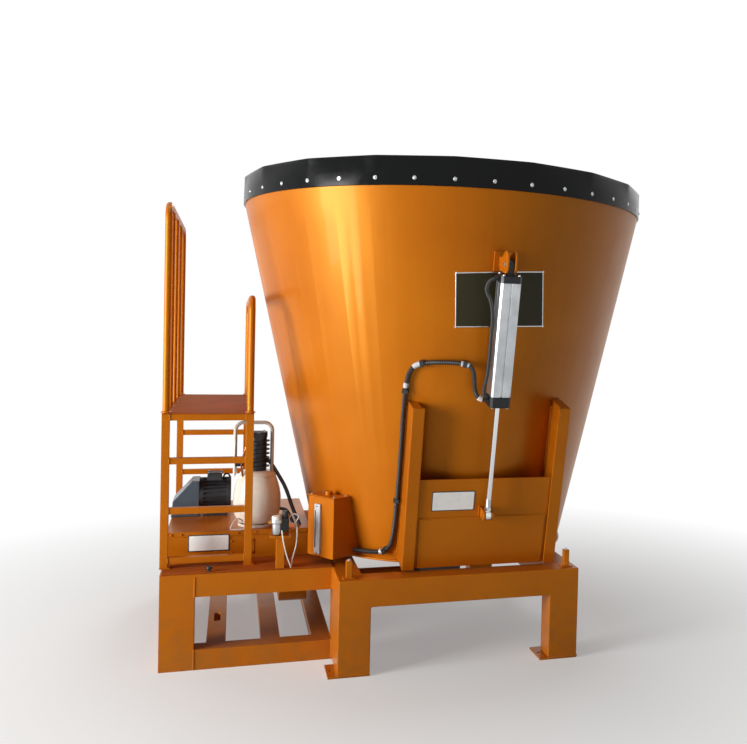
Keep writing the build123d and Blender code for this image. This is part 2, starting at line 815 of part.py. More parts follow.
def make_conduit(low_cap, oil_box):
    """Conduit from the actuator's low end to the oil tank, and the clips that hold it."""
    points = []
    for x, z, off in conduit_route:
        r = tub_radius(z) + off
        points.append(Vector(x, -math.sqrt(r * r - x * x), z))
    runs = [b - a for a, b in zip(points, points[1:])]
    tube, path, smallest = cord_tube(points, conduit_r)
    save("conduit", tube - low_cap - oil_box)
    print("conduit length", round(path.length), "smallest bend", round(smallest))
    clips = []
    reach = conduit_r + clip_clear + clip_t
    for i in clip_runs:
        middle = (points[i] + points[i + 1]) / 2
        r = math.hypot(middle.X, middle.Y)
        back = (r - tub_radius(middle.Z)) * math.cos(slope)
        off_wall = Vector(middle.X / r * math.cos(slope), middle.Y / r * math.cos(slope), -math.sin(slope))
        clip = block(-back, reach, -reach, reach, -clip_l / 2, clip_l / 2)
        clip -= Cylinder(conduit_r + clip_clear, 2 * clip_l)
        clips.append(Plane(origin=middle, x_dir=off_wall, z_dir=runs[i]) * clip - tub_solid)
    save("conduit_clips", *clips)


def make_hose(low_cap, top_cap):
    """Hose along the barrel between the actuator's two ends."""
    tube, path, smallest = cord_tube([Vector(x, s, cyl_off) for x, s in hose_route], hose_r)
    print("hose length", round(path.length), "smallest bend", round(smallest))
    save("upper_hose", lift * tube - low_cap - top_cap)


make_tub()
make_main_frame()
make_drive_frame()
make_drive()
make_weighing()
make_door()
low_cap, top_cap = make_actuator()
make_auger()
make_step_stand()
make_motor()
make_compressor()
make_air_unit()
oil_box = make_oil_tank()
make_conduit(low_cap, oil_box)
make_hose(low_cap, top_cap)
print("shift", shift_x, shift_y, "slope", math.degrees(slope))
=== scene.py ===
"""Looks of a stationary vertical-auger feed mixer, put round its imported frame.

Shapes are worked out in millimetres about the tub's upright axis, as the part's own source does,
and piece() turns them into metres and moves them into the frame. A shape is a pair: an array of
points and a list of faces.
"""

import json
import math

import bmesh
import bpy
import numpy as np
from mathutils import Matrix, Vector

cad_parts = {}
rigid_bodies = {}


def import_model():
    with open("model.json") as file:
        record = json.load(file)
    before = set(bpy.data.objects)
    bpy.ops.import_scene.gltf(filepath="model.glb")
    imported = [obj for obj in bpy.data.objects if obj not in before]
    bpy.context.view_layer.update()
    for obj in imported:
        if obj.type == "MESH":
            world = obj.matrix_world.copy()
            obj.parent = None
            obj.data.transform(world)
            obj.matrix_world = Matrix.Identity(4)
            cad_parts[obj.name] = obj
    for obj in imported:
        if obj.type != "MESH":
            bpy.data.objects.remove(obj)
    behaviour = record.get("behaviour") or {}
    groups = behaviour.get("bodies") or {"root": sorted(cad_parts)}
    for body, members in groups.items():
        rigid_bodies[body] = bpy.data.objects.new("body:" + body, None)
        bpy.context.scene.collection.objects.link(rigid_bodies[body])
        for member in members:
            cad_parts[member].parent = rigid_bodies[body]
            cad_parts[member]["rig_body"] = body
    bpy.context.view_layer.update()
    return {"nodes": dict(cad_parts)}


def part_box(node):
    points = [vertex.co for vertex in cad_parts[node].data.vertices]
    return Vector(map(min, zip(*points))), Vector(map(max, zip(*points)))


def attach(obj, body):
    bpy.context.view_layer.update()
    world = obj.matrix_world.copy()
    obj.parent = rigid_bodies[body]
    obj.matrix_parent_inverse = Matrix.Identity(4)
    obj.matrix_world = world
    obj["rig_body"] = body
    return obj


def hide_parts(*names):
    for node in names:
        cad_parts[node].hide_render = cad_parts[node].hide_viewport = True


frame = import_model()

MM = 0.001
floor_low, floor_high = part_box("tub_floor")
AXIS = np.array([(floor_low.x + floor_high.x) / 2, (floor_low.y + floor_high.y) / 2, 0.0])
SIDE = np.array([1.0, 0.0, 0.0])
BACK = np.array([0.0, 1.0, 0.0])
UP = np.array([0.0, 0.0, 1.0])

# The photograph's frame in pixels, and the width of the sensor it falls on
IMAGE_WIDTH, IMAGE_HEIGHT, SENSOR = 747, 744, 36.0

# The tub's cone and the plane that the door, the rails and the actuator share, as in the part
FLOOR_Z, FLOOR_R = 508.0, 722.0
WALL_TOP_Z, WALL_TOP_R = 2392.0, 1141.7
TAPER = (WALL_TOP_R - FLOOR_R) / (WALL_TOP_Z - FLOOR_Z)
SLOPE = math.atan(TAPER)
UP_SLOPE = np.array([0.0, -math.sin(SLOPE), math.cos(SLOPE)])
OFF_SLOPE = np.array([0.0, -math.cos(SLOPE), -math.sin(SLOPE)])

# Rim band, and its bolts with the turn of the first one from the front
BAND_R, BAND_HEIGHT, BAND_THICK = 1150.0, 144, 8.0
RIM_BOLTS, RIM_BOLT_TURN, RIM_BOLT_Z = 38, math.radians(-1.2), 2427

# The badge plate's corners on the tub as (x, z), anticlockwise from the lower left, and its size
BADGE_CORNERS = np.array([(-163.0, 1729.0), (310.0, 1746.0), (278.0, 2027.0), (-182.0, 1999.0)])
BADGE_MIDDLE = np.array([60.0, 1875.0])
BADGE_SIZE = np.array([466.0, 272.0])

# The two signs: left, right, bottom and top
DOOR_SIGN = (-224, 1, 799, 903)
HOUSING_SIGN = (-1398, -1193, 528, 616)

# Auger, as in the part: the flight's helix, the core's cone, and each knife's place in turns
FLIGHT_TURNS, FLIGHT_Z, FLIGHT_RISE, FLIGHT_R, FLIGHT_NARROWS = 2.25, 534, 1166, 640, 390
CORE_R, CORE_Z, CORE_HEIGHT, CORE_NARROWS = 225, 514, 1276, 130
KNIFE_TURNS = (0.12, 0.42, 0.72, 1.02, 1.32, 1.62)

# Actuator: its middle line, and its pins and the caps' outer faces by their distance up the slope
CYL_X, CYL_OFF = 58.0, 102.0
DOOR_PIN_S, TUB_PIN_S = 301, 1589
LOW_CAP_S, TOP_CAP_S = 889, 1540

# Main frame: outline, leg section, underside and width of the beams, top of the foot plates
FRAME_LEFT, FRAME_RIGHT, FRAME_FRONT, FRAME_REAR = -681.0, 575.0, -873.0, 873.0
LEG_WIDTH, LEG_DEPTH, BEAM_LOW, BEAM_RUN, FOOT_TOP = 160, 126, 341, 120, 11

# Drive frame: front, left leg's inner edge, and its upper and lower beams' weld starts and length
DRIVE_FRONT, DRIVE_LEG = -598, -1353
DRIVE_TOP_Z, DRIVE_LOW_Z, DRIVE_BEAM_RUN = 366, 2, 98

# Belt housing's front and top, and the top of the step stand
HOUSING_FRONT, HOUSING_TOP = -338, 632
STEP_TOP = 1267

# Middle lines of the conduit, as (x, z, distance off the tub), and of the hose beside the barrel,
# as (distance from the barrel's middle, distance up the slope)
CONDUIT_ROUTE = [
    (16, 1378, 90), (-28, 1381, 86), (-55, 1412, 78), (-60, 1480, 64), (-62, 1520, 44), (-78, 1548, 29),
    (-124, 1557, 20), (-194, 1560, 18), (-274, 1557, 18), (-340, 1545, 18), (-372, 1490, 18),
    (-378, 1330, 17), (-376, 1117, 16), (-377, 937, 16), (-380, 741, 16), (-386, 630, 17),
    (-402, 572, 20), (-446, 547, 24), (-512, 545, 32), (-578, 542, 30)]
HOSE_ROUTE = [
    (-40, 930), (-70, 934), (-80, 966), (-66, 1030), (-63, 1130), (-64, 1230), (-63, 1330), (-78, 1410),
    (-112, 1462), (-98, 1506), (-68, 1523), (-40, 1524)]


# Camera, light and stage

def aim_camera():
    """The camera of the photograph, whose frame is the left part of a wider one, hence the shift."""
    yaw, pitch, roll = 0.3089, -0.0298, 0.0273
    focal_px, centre_x, centre_y = 880.563, 515.43, 360.94
    eye = np.array([-1183.97, -5179.10, 1704.88]) * MM + AXIS
    ahead = np.array([math.sin(yaw), math.cos(yaw), 0.0])
    right = np.array([math.cos(yaw), -math.sin(yaw), 0.0])
    look_along = ahead * math.cos(pitch) + UP * math.sin(pitch)
    head = UP * math.cos(pitch) - ahead * math.sin(pitch)
    x_axis = right * math.cos(roll) + head * math.sin(roll)
    y_axis = head * math.cos(roll) - right * math.sin(roll)
    data = bpy.data.cameras.new("photo_camera")
    data.sensor_fit = "HORIZONTAL"
    data.sensor_width = SENSOR
    data.lens = focal_px * SENSOR / IMAGE_WIDTH
    data.shift_x = (IMAGE_WIDTH / 2 - centre_x) / IMAGE_WIDTH
    data.shift_y = (centre_y - IMAGE_HEIGHT / 2) / IMAGE_WIDTH
    camera = bpy.data.objects.new("photo_camera", data)
    turn = Matrix([x_axis.tolist(), y_axis.tolist(), (-look_along).tolist()]).transposed()
    camera.matrix_world = Matrix.Translation(Vector(eye)) @ turn.to_4x4()
    bpy.context.scene.collection.objects.link(camera)
    bpy.context.scene.camera = camera


def soft_box(name, place, target, width, height, power):
    """An oblong lamp that faces a point of the object, itself out of the picture."""
    data = bpy.data.lights.new(name, "AREA")
    data.shape = "RECTANGLE"
    data.size = width
    data.size_y = height
    data.energy = power
    lamp = bpy.data.objects.new(name, data)
    lamp.visible_camera = False
    lamp.location = place
    lamp.rotation_euler = (Vector(target) - Vector(place)).to_track_quat("-Z", "Y").to_euler()
    bpy.context.scene.collection.objects.link(lamp)


def light_studio():
    """A large soft box from the left, a weak one from above and one from behind."""
    soft_box("key_box", (-6.5, -2.55, 1.85), (0.15, 0, 1.6), 2.6, 3.3, 600)
    soft_box("top_box", (-0.4, -0.6, 5.4), (0.1, 0, 1.0), 2.4, 2.4, 40)
    soft_box("back_box", (1.0, 4.6, 4.4), (0.1, 0, 1.2), 1.6, 1.6, 80)


def showing_rays(tree):
    """1 for the rays that show the background, from the camera, mirrored or through glass."""
    rays = add(tree, "LightPath")
    share = rays.outputs["Is Camera Ray"]
    for kind in ("Is Glossy Ray", "Is Transmission Ray"):
        share = add(tree, "Math", {"operation": "MAXIMUM"}, {0: share, 1: rays.outputs[kind]}).outputs[0]
    return share


def surround():
    """White where it shows, and a faint even fill for all other rays."""
    world = bpy.data.worlds.new("studio")
    bpy.context.scene.world = world
    world.use_nodes = True
    sky = world.node_tree
    sky.nodes.clear()
    pale = add(sky, "Background", inputs={"Color": srgb("#FFFFFF"), "Strength": 1.0})
    fill = add(sky, "Background", inputs={"Color": srgb("#F4F5F7"), "Strength": 0.08})
    mix = add(sky, "MixShader", inputs={0: showing_rays(sky), 1: fill.outputs[0], 2: pale.outputs[0]})
    add(sky, "OutputWorld", inputs={"Surface": mix.outputs[0]})


def floor_paint():
    """Pale matt floor that turns to the white of the surround between two distances in metres."""
    fade_from, fade_to, least = 1.2, 3.8, 0.3
    ground = bpy.data.materials.new("pale_studio_floor")
    ground.use_nodes = True
    tree = ground.node_tree
    shader = tree.nodes["Principled BSDF"]
    shader.inputs["Base Color"].default_value = srgb("#DEDDDA")
    shader.inputs["Roughness"].default_value = 0.7
    at = add(tree, "TexCoord").outputs["Object"]
    away = add(tree, "VectorMath", {"operation": "LENGTH"}, {0: at}).outputs["Value"]
    fade = add(tree, "MapRange", inputs={"Value": away, "From Min": fade_from, "From Max": fade_to,
                                         "To Min": least}).outputs["Result"]
    shown = add(tree, "Math", {"operation": "MULTIPLY"}, {0: fade, 1: showing_rays(tree)})
    glow = add(tree, "Emission", inputs={"Color": srgb("#FFFFFF"), "Strength": 1.0})
    mix = add(tree, "MixShader", inputs={0: shown.outputs[0], 1: shader.outputs[0], 2: glow.outputs[0]})
    tree.links.new(mix.outputs[0], tree.nodes["Material Output"].inputs["Surface"])
    return ground


def lay_floor():
    """A round floor, a profile turned about the upright axis, a hair below the feet."""
    below = 0.0002
    points, faces = lathe([(0.0, 0.0), (4.0, 0.0), (12.0, 0.0), (60.0, 0.0)], 48)
    mesh = bpy.data.meshes.new("studio_floor")
    mesh.from_pydata((points - (0, 0, below)).tolist(), [], [face[::-1] for face in faces])
    mesh.materials.append(floor_paint())
    studio_floor = bpy.data.objects.new("studio_floor", mesh)
    bpy.context.scene.collection.objects.link(studio_floor)


# Materials

def srgb(code):
    """The linear values of a hex colour: each channel's share of 255 raised by the sRGB curve."""
    share = np.array([int(code[i:i + 2], 16) / 255 for i in (1, 3, 5)])
    linear = np.where(share <= 0.04045, share / 12.92, ((share + 0.055) / 1.055) ** 2.4)
    return (*linear.tolist(), 1.0)


def add(tree, kind, settings=None, inputs=None):
    """A node with its settings, and its inputs set to values or linked from sockets."""
    node = tree.nodes.new("ShaderNode" + kind)
    for key, value in (settings or {}).items():
        setattr(node, key, value)
    for key, value in (inputs or {}).items():
        if isinstance(value, bpy.types.NodeSocket):
            tree.links.new(value, node.inputs[key])
        else:
            node.inputs[key].default_value = value
    return node


def finish(name, colour, roughness, metallic, pattern, other=None):
    """A material whose uniform values sit on the shader, and whose patterns are linked after."""
    material = bpy.data.materials.new(name)
    material.use_nodes = True
    tree = material.node_tree
    shader = tree.nodes["Principled BSDF"]
    shader.inputs["Base Color"].default_value = srgb(colour)
    shader.inputs["Roughness"].default_value = roughness
    shader.inputs["Metallic"].default_value = metallic
    for key, value in (other or {}).items():
        shader.inputs[key].default_value = value
    pattern(tree, shader, add(tree, "TexCoord").outputs["Object"])
    return material


def mottled(tree, at, size, low, high, detail=4.0, contrast=0.15):
    """A noise with spots of one size in millimetres, spread between two values."""
    noise = add(tree, "TexNoise", inputs={"Vector": at, "Scale": 1 / (size * MM), "Detail": detail})
    return add(tree, "MapRange", inputs={
        "Value": noise.outputs["Fac"], "From Min": 0.5 - contrast, "From Max": 0.5 + contrast,
        "To Min": low, "To Max": high}).outputs["Result"]


def between(tree, share, first, second):
    """Two colours, hex or linked, mixed by a share."""
    ends = [srgb(colour) if isinstance(colour, str) else colour for colour in (first, second)]
    return add(tree, "Mix", {"data_type": "RGBA"}, {0: share, 6: ends[0], 7: ends[1]}).outputs[2]


def coloured(tree, shader, colour):
    """The base colour linked to a pattern."""
    tree.links.new(colour, shader.inputs["Base Color"])


def roughened(tree, shader, share):
    """The roughness linked to a pattern."""
    tree.links.new(share, shader.inputs["Roughness"])


def bumped(tree, shader, height, depth, edge):
    """Relief of a depth in millimetres over the whole surface, with its sharp edges rounded."""
    soft = add(tree, "Bevel", {"samples": 4}, {"Radius": edge * MM}).outputs["Normal"]
    bump = add(tree, "Bump", inputs={
        "Height": height, "Distance": depth * MM, "Strength": 1.0, "Normal": soft})
    tree.links.new(bump.outputs["Normal"], shader.inputs["Normal"])


def sprayed(tree, shader, at):
    """Broad shifts of shade from spraying, dust that gathers low down, and orange peel."""
    dust_top = 0.55
    shade = between(tree, mottled(tree, at, 420, 0, 1, 2.0, 0.3), "#AE5A08", "#BC680D")
    height = add(tree, "SeparateXYZ", inputs={0: at}).outputs["Z"]
    low = add(tree, "MapRange", inputs={"Value": height, "From Min": dust_top, "From Max": 0.0,
                                        "To Min": 0.0, "To Max": 1.0}).outputs["Result"]
    patches = mottled(tree, at, 60, 0, 0.5, 6.0, 0.2)
    dust = add(tree, "Math", {"operation": "MULTIPLY"}, {0: low, 1: patches}).outputs[0]
    coloured(tree, shader, between(tree, dust, shade, "#7E5630"))
    roughened(tree, shader, mottled(tree, at, 140, 0.34, 0.40, 2.0, 0.3))
    bumped(tree, shader, mottled(tree, at, 16, 0, 1, 2.0, 0.4), 0.06, 4)


def trodden(tree, shader, at):
    """Enamel scuffed by boots in patches a hand wide, with small chips under them."""
    coloured(tree, shader, between(tree, mottled(tree, at, 120, 0, 1, 6.0, 0.2), "#A44E0C", "#8E4A1A"))
    bumped(tree, shader, mottled(tree, at, 14, 0, 1, 3.0, 0.3), 0.15, 1.5)


def rippled(tree, shader, at):
    """Rolled ripples under the gloss, each about a hand wide."""
    roughened(tree, shader, mottled(tree, at, 45, 0.12, 0.26, 4.0, 0.25))
    bumped(tree, shader, mottled(tree, at, 130, 0, 1, 1.0, 0.4), 1.2, 2)


def brushed(tree, shader, at):
    """Fine lines along the drawing direction, the slope, and a darker film in patches.

    The lines are drawn 3 mm wide, coarser than real ones, so that they show.
    """
    drawn_out = 40
    along = add(tree, "Mapping", {"vector_type": "TEXTURE"}, {
        "Vector": at, "Rotation": (-SLOPE, 0, 0), "Scale": (1, 1, drawn_out)}).outputs["Vector"]
    roughened(tree, shader, mottled(tree, along, 3, 0.26, 0.40, 2.0, 0.3))
    coloured(tree, shader, between(tree, mottled(tree, at, 80, 0, 1), "#AEB2B5", "#C4C7C9"))
    bumped(tree, shader, mottled(tree, along, 2, 0, 1, 1.0, 0.3), 0.05, 2)


def cast_skin(tree, shader, at):
    """Grains of the sand mould, about 3 mm across."""
    roughened(tree, shader, mottled(tree, at, 40, 0.42, 0.62))
    bumped(tree, shader, mottled(tree, at, 3, 0, 1, 3.0, 0.3), 0.25, 3)


def handled(tree, shader, at):
    """A smooth face with faint smears where hands and cloths went."""
    level = shader.inputs["Roughness"].default_value
    roughened(tree, shader, mottled(tree, at, 30, level * 0.75, level * 1.3, 5.0, 0.25))
    bumped(tree, shader, mottled(tree, at, 12, 0, 1, 2.0, 0.4), 0.06, 1.5)


def scored(tree, shader, at):
    """Feed-polished steel: bright rubbed patches among brown ones, scored round the axis."""
    squeezed = 12
    coloured(tree, shader, between(tree, mottled(tree, at, 70, 0, 1, 8.0, 0.12), "#83786A", "#9A958C"))
    roughened(tree, shader, mottled(tree, at, 25, 0.30, 0.58, 6.0, 0.25))
    score = add(tree, "Mapping", inputs={"Vector": at, "Scale": (1, 1, squeezed)}).outputs["Vector"]
    bumped(tree, shader, mottled(tree, score, 24, 0, 1, 8.0, 0.3), 0.5, 2)


def bloomed(tree, shader, at):
    """Zinc with a cloudy bloom a thumb wide."""
    coloured(tree, shader, between(tree, mottled(tree, at, 18, 0, 1), "#A9ADAF", "#C3C6C6"))
    roughened(tree, shader, mottled(tree, at, 10, 0.24, 0.42))
    bumped(tree, shader, mottled(tree, at, 5, 0, 1), 0.04, 0.8)


def make_finishes():
    """Every material of the machine by its plain name."""
    look = {}
    # Sprayed metallic enamel: flakes make it flash where the light is and fall dark beside it
    look["paint"] = finish("sprayed_orange_enamel", "#B4600A", 0.38, 0.10, sprayed,
                           {"Coat Weight": 0.04, "Coat Roughness": 0.05, "IOR": 1.6,
                            "Specular Tint": srgb("#FFCE5A")})
    # The same enamel where boots have dulled it: no flash at all
    look["tread"] = finish("boot_dulled_orange_enamel", "#A9520C", 0.72, 0.0, trodden,
                           {"Specular IOR Level": 0.12})
    # Black gloss paint on rolled strip: long reflections that waver
    look["band"] = finish("black_gloss_paint", "#08090A", 0.18, 0.0, rippled, {"Specular IOR Level": 0.14})
    # Anodised aluminium, extruded: soft highlights drawn out along the barrel
    look["barrel"] = finish("anodised_aluminium", "#BABEC1", 0.32, 0.9, brushed)
    # Die-cast caps, black anodised: dull black with a faint sheen
    look["cap"] = finish("black_anodised_casting", "#16171A", 0.38, 0.3, handled)
    # Hard chrome, ground: mirrors its surroundings
    look["chrome"] = finish("hard_chrome", "#DADCDD", 0.12, 1.0, handled)
    # Zinc-plated fasteners and brackets: pale grey, slightly cloudy
    look["zinc"] = finish("zinc_plated_steel", "#B6BABB", 0.32, 0.9, bloomed)
    # Bare auger steel rubbed by feed: half bright, half brown
    look["worn"] = finish("feed_worn_steel", "#938C82", 0.44, 0.8, scored)
    # Hardened knife steel, ground: brighter than the flight that it sits on
    look["knife"] = finish("ground_knife_steel", "#9FA1A2", 0.30, 0.9, handled)
    # Grey iron casting under primer: grainy and dull
    look["cast"] = finish("primed_cast_iron", "#4A4B4C", 0.55, 0.1, cast_skin)
    # Cream stove enamel of the air receiver: a hard wet gloss
    look["cream"] = finish("cream_stove_enamel", "#EBE2D2", 0.24, 0.0, handled, {"Coat Weight": 0.3})
    # White powder coat on tube and wire: even, half gloss
    look["white"] = finish("white_powder_coat", "#DDD6CC", 0.36, 0.0, handled)
    # Black enamel over cast fins: the casting's grain shows through
    look["motor"] = finish("black_motor_enamel", "#17181B", 0.42, 0.0, cast_skin)
    # Blue-grey powder coat on folded sheet: even, with a soft top gloss
    look["cowl"] = finish("blue_grey_powder_coat", "#39434F", 0.36, 0.0, handled, {"Coat Weight": 0.2})
    # Black polyamide conduit and rubber hose: dark grey in the light, half matt
    look["nylon"] = finish("black_polyamide", "#242527", 0.38, 0.0, handled)
    # Pale polyethylene air tube: milky, light passes into it
    look["pe"] = finish("natural_polyethylene", "#E4E4DE", 0.34, 0.0, handled, {"Subsurface Weight": 0.1})
    # Brass push-in fittings: yellow metal, turned smooth
    look["brass"] = finish("plain_brass", "#B98A4A", 0.28, 0.95, handled)
    # Sign sheet, blank: the whitest thing on the machine
    look["sign"] = finish("white_sign_sheet", "#F8F8F5", 0.30, 0.0, handled)
    # Dark sheet of the large badge plate, blank: matt, so that it stays dark
    look["badge"] = finish("dark_badge_sheet", "#2E2B16", 0.45, 0.0, handled, {"Specular IOR Level": 0.2})
    # Edge of the two signs: a thin dark line round the white
    look["edge"] = finish("dark_sign_edge", "#2B2D30", 0.35, 0.0, handled)
    # Grey polyamide collars and gauge frame: pale, half matt
    look["grey"] = finish("light_grey_polyamide", "#C6C9CB", 0.4, 0.0, handled)
    # Border strip of the badge plate: a thin bright line
    look["silver"] = finish("bright_border_strip", "#C9CBCB", 0.22, 0.9, handled)
    # Glass of the level gauge over a dark scale: black with a sharp gloss
    look["gauge"] = finish("gauge_glass_over_black", "#14161A", 0.06, 0.0, handled, {"Coat Weight": 1.0})
    # Copper pipe: reddish, bright
    look["copper"] = finish("drawn_copper", "#B4683F", 0.30, 0.95, handled)
    return look


# Shapes

def quads(rows, cols, wrap=True):
    """Faces between the rows and columns of a grid, the last column joined to the first if it wraps."""
    r = np.arange(rows - 1)[:, None] * cols
    c = np.arange(cols if wrap else cols - 1)[None, :]
    n = (c + 1) % cols
    return np.stack([r + c, r + n, r + cols + n, r + cols + c], -1).reshape(-1, 4).tolist()


def unit(v):
    """Vectors divided by their own lengths."""
    v = np.asarray(v, float)
    return v / np.linalg.norm(v, axis=-1, keepdims=True)


def joined(*shapes):
    """Shapes put together as one: points end to end, each shape's faces counted on from the last."""
    points, faces, start = [], [], 0
    for shape_points, shape_faces in shapes:
        points.append(shape_points)
        faces += [[i + start for i in face] for face in shape_faces]
        start += len(shape_points)
    return np.concatenate(points), faces


def moved(shape, offset):
    """A shape with the same offset added to all its points."""
    return shape[0] + offset, shape[1]


def lathe(profile, steps=40):
    """A profile of radius r and height h turned about the third axis: (r cos a, r sin a, h)."""
    profile = np.asarray(profile, float)
    a = np.linspace(0, 2 * np.pi, steps, endpoint=False)
    r, h = profile[:, :1], profile[:, 1:]
    points = np.stack([r * np.cos(a), r * np.sin(a), h + 0 * a], -1)
    return points.reshape(-1, 3), quads(len(profile), steps)


def arc(middle, radius, start, end, steps):
    """Points of a circle between two angles in degrees, both ends included."""
    a = np.radians(np.linspace(start, end, steps))
    return np.array(middle) + radius * np.stack([np.cos(a), np.sin(a)], -1)


def rounded(width, height, corner, steps=5):
    """A rectangle's outline with a quarter circle of one radius at each corner, anticlockwise."""
    x, y = width / 2 - corner, height / 2 - corner
    corners = ((x, y), (-x, y), (-x, -y), (x, -y))
    quarters = [arc(middle, corner, 90 * i, 90 * i + 90, steps) for i, middle in enumerate(corners)]
    return np.concatenate(quarters)


def slab(outline, levels):
    """An outline drawn in by an inset at each level (inset, height), closed by a face at both ends.

    A point moves in along the mean of its two edges' normals.
    """
    outline = np.asarray(outline, float)
    edge = unit(np.roll(outline, -1, 0) - outline)
    inwards = np.stack([-edge[:, 1], edge[:, 0]], -1)
    normal = unit(inwards + np.roll(inwards, 1, 0))
    count = len(outline)
    rows = [np.column_stack([outline + inset * normal, np.full(count, height)]) for inset, height in levels]
    last = count * (len(levels) - 1)
    faces = quads(len(levels), count)
    faces += [list(range(count))[::-1], list(range(last, last + count))]
    return np.concatenate(rows), faces


def plate(width, height, low, high, corner=2.0, edge=1.0):
    """A flat plate from one level to another, its upright corners and both rims rounded."""
    levels = [(edge, low), (0, low + edge), (0, high - edge), (edge, high)]
    return slab(rounded(width, height, corner), levels)


def placed(shape, origin, across, up):
    """A shape at a place: its first two axes lie along across and up, its third is square to them."""
    across, up = unit(across), unit(up)
    return shape[0] @ np.array([across, up, np.cross(across, up)]) + origin, shape[1]


def copies(shape, origins, across, up):
    """A shape placed at many origins, each with its own axes, as one array product."""
    origins = np.asarray(origins, float)
    across = unit(np.broadcast_to(across, origins.shape))
    up = unit(np.broadcast_to(up, origins.shape))
    axes = np.stack([across, up, np.cross(across, up)], 1)
    points = np.einsum("mi,nij->nmj", shape[0], axes) + origins[:, None]
    count = len(shape[0])
    faces = [[i + n * count for i in face] for n in range(len(origins)) for face in shape[1]]
    return points.reshape(-1, 3), faces


def tube(path, radius, across, sides=12):
    """A circle carried along a path, square to it, and closed to a point at both ends.

    The circle's first axis is the part of across that is square to the path, its second the
    product of the path's direction and the first.
    """
    path = np.asarray(path, float)
    along = unit(np.gradient(path, axis=0))
    across = np.broadcast_to(np.asarray(across, float), path.shape)
    first = unit(across - (across * along).sum(1, keepdims=True) * along)
    second = np.cross(along, first)
    r = np.broadcast_to(radius, len(path))
    ends = np.concatenate([[0], np.arange(len(path)), [len(path) - 1]])
    r = np.concatenate([[0.0], r, [0.0]])[:, None, None]
    a = np.linspace(0, 2 * np.pi, sides, endpoint=False)[:, None]
    ring = first[ends][:, None] * np.cos(a) + second[ends][:, None] * np.sin(a)
    return (path[ends][:, None] + r * ring).reshape(-1, 3), quads(len(ends), sides)


def spaced(points, step):
    """Points along a line at even distances, found by its running length."""
    points = np.asarray(points, float)
    run = np.concatenate([[0], np.cumsum(np.linalg.norm(np.diff(points, axis=0), axis=1))])
    at = np.linspace(0, run[-1], max(2, round(run[-1] / step) + 1))
    return np.stack([np.interp(at, run, points[:, i]) for i in range(3)], -1)


def spline(points):
    """The line of a quadratic NURBS spline that has these points as its control points."""
    curve = bpy.data.curves.new("route", "CURVE")
    curve.dimensions = "3D"
    run = curve.splines.new("NURBS")
    run.points.add(len(points) - 1)
    run.points.foreach_set("co", np.column_stack([points, np.ones(len(points))]).ravel())
    run.order_u = 3
    run.use_endpoint_u = True
    run.resolution_u = 24
    holder = bpy.data.objects.new("route", curve)
    bpy.context.scene.collection.objects.link(holder)
    line = bpy.data.meshes.new_from_object(holder)
    path = np.zeros(len(line.vertices) * 3)
    line.vertices.foreach_get("co", path)
    bpy.data.meshes.remove(line)
    bpy.data.objects.remove(holder)
    bpy.data.curves.remove(curve)
    return path.reshape(-1, 3)


def small_tube(points, r, across, sides=10):
    """A thin tube along the spline of a few points, with points every two millimetres."""
    return tube(spaced(spline(np.array(points, float)), 2.0), r, across, sides)


def ridges(count, shoulder):
    """One ridge every four points: nought, a shoulder, one, and the shoulder again."""
    return np.tile([0.0, shoulder, 1.0, shoulder], count // 4 + 1)[:count]


def ribbed(path, r, pitch, depth, across, sides):
    """A corrugated tube: the radius falls to each groove, one every pitch, and rises to each rib.

    Where across is a function, it gives the circle's first axis from the path's points.
    """
    path = spaced(path, pitch / 4)
    first = across(path) if callable(across) else across
    return tube(path, r - depth * ridges(len(path), 0.35), first, sides)


def sleeve(path, start, length, r, wall=1.2):
    """A short collar round a stretch of a line, its two ends turned in: a tube with its own radii."""
    run = spaced(path, 1.0)
    part = run[int(start):int(start + length) + 1]
    radius = np.full(len(part), r + wall)
    radius[[0, -1]] = r - 1
    radius[[1, -2]] = r + wall * 0.5
    return tube(part, radius, from_axis(part), 16)


def bolt(size):
    """A hexagon head on a washer: a six-sided turned profile over a round one.

    The head is 0.9 of the size in radius and 0.65 of it high, with its corners turned off.
    """
    r, h, w = 0.9 * size, 0.65 * size, 0.16 * size
    washer = lathe([(0, 0), (1.1 * size, 0), (1.1 * size, w * 0.7), (1.02 * size, w), (0, w)], 20)
    head = lathe([(0, w * 0.5), (r, w * 0.5), (r, w + h * 0.82), (r * 0.86, w + h), (0, w + h)], 6)
    return joined(washer, head)


def round_head(size):
    """A round head on a washer: a quarter ellipse turned about the bolt's axis over a flat ring."""
    a = np.linspace(0, np.pi / 2, 6)
    dome = np.column_stack([0.9 * size * np.cos(a), 0.14 * size + 0.55 * size * np.sin(a)])
    profile = np.concatenate([[(0, 0), (1.15 * size, 0), (1.15 * size, 0.14 * size)], dome])
    profile[-1, 0] = 0
    return lathe(profile, 18)


def bead(path, r, across):
    """A weld bead along a line: a tube whose radius swells with each ripple, 3 radii apart."""
    path = spaced(path, r * 0.5)
    swell = np.abs(np.sin(np.arange(len(path)) * np.pi / 6))
    return tube(path, r * (0.78 + 0.3 * swell), across, 8)


def beads(starts, run, r, across):
    """Equal straight weld beads, each from its own start along the same run."""
    points, faces = bead([(0.0, 0.0, 0.0), run], r, across)
    starts = np.asarray(starts, float)
    faces = [[i + n * len(points) for i in face] for n in range(len(starts)) for face in faces]
    return (points + starts[:, None]).reshape(-1, 3), faces


# Places on the machine

def round_tub(angle, r, z):
    """Points at an angle from the front, counted towards +X: (r sin a, -r cos a, z)."""
    angle, r, z = np.broadcast_arrays(np.asarray(angle, float), np.asarray(r, float), np.asarray(z, float))
    return np.stack([r * np.sin(angle), -r * np.cos(angle), z], -1)


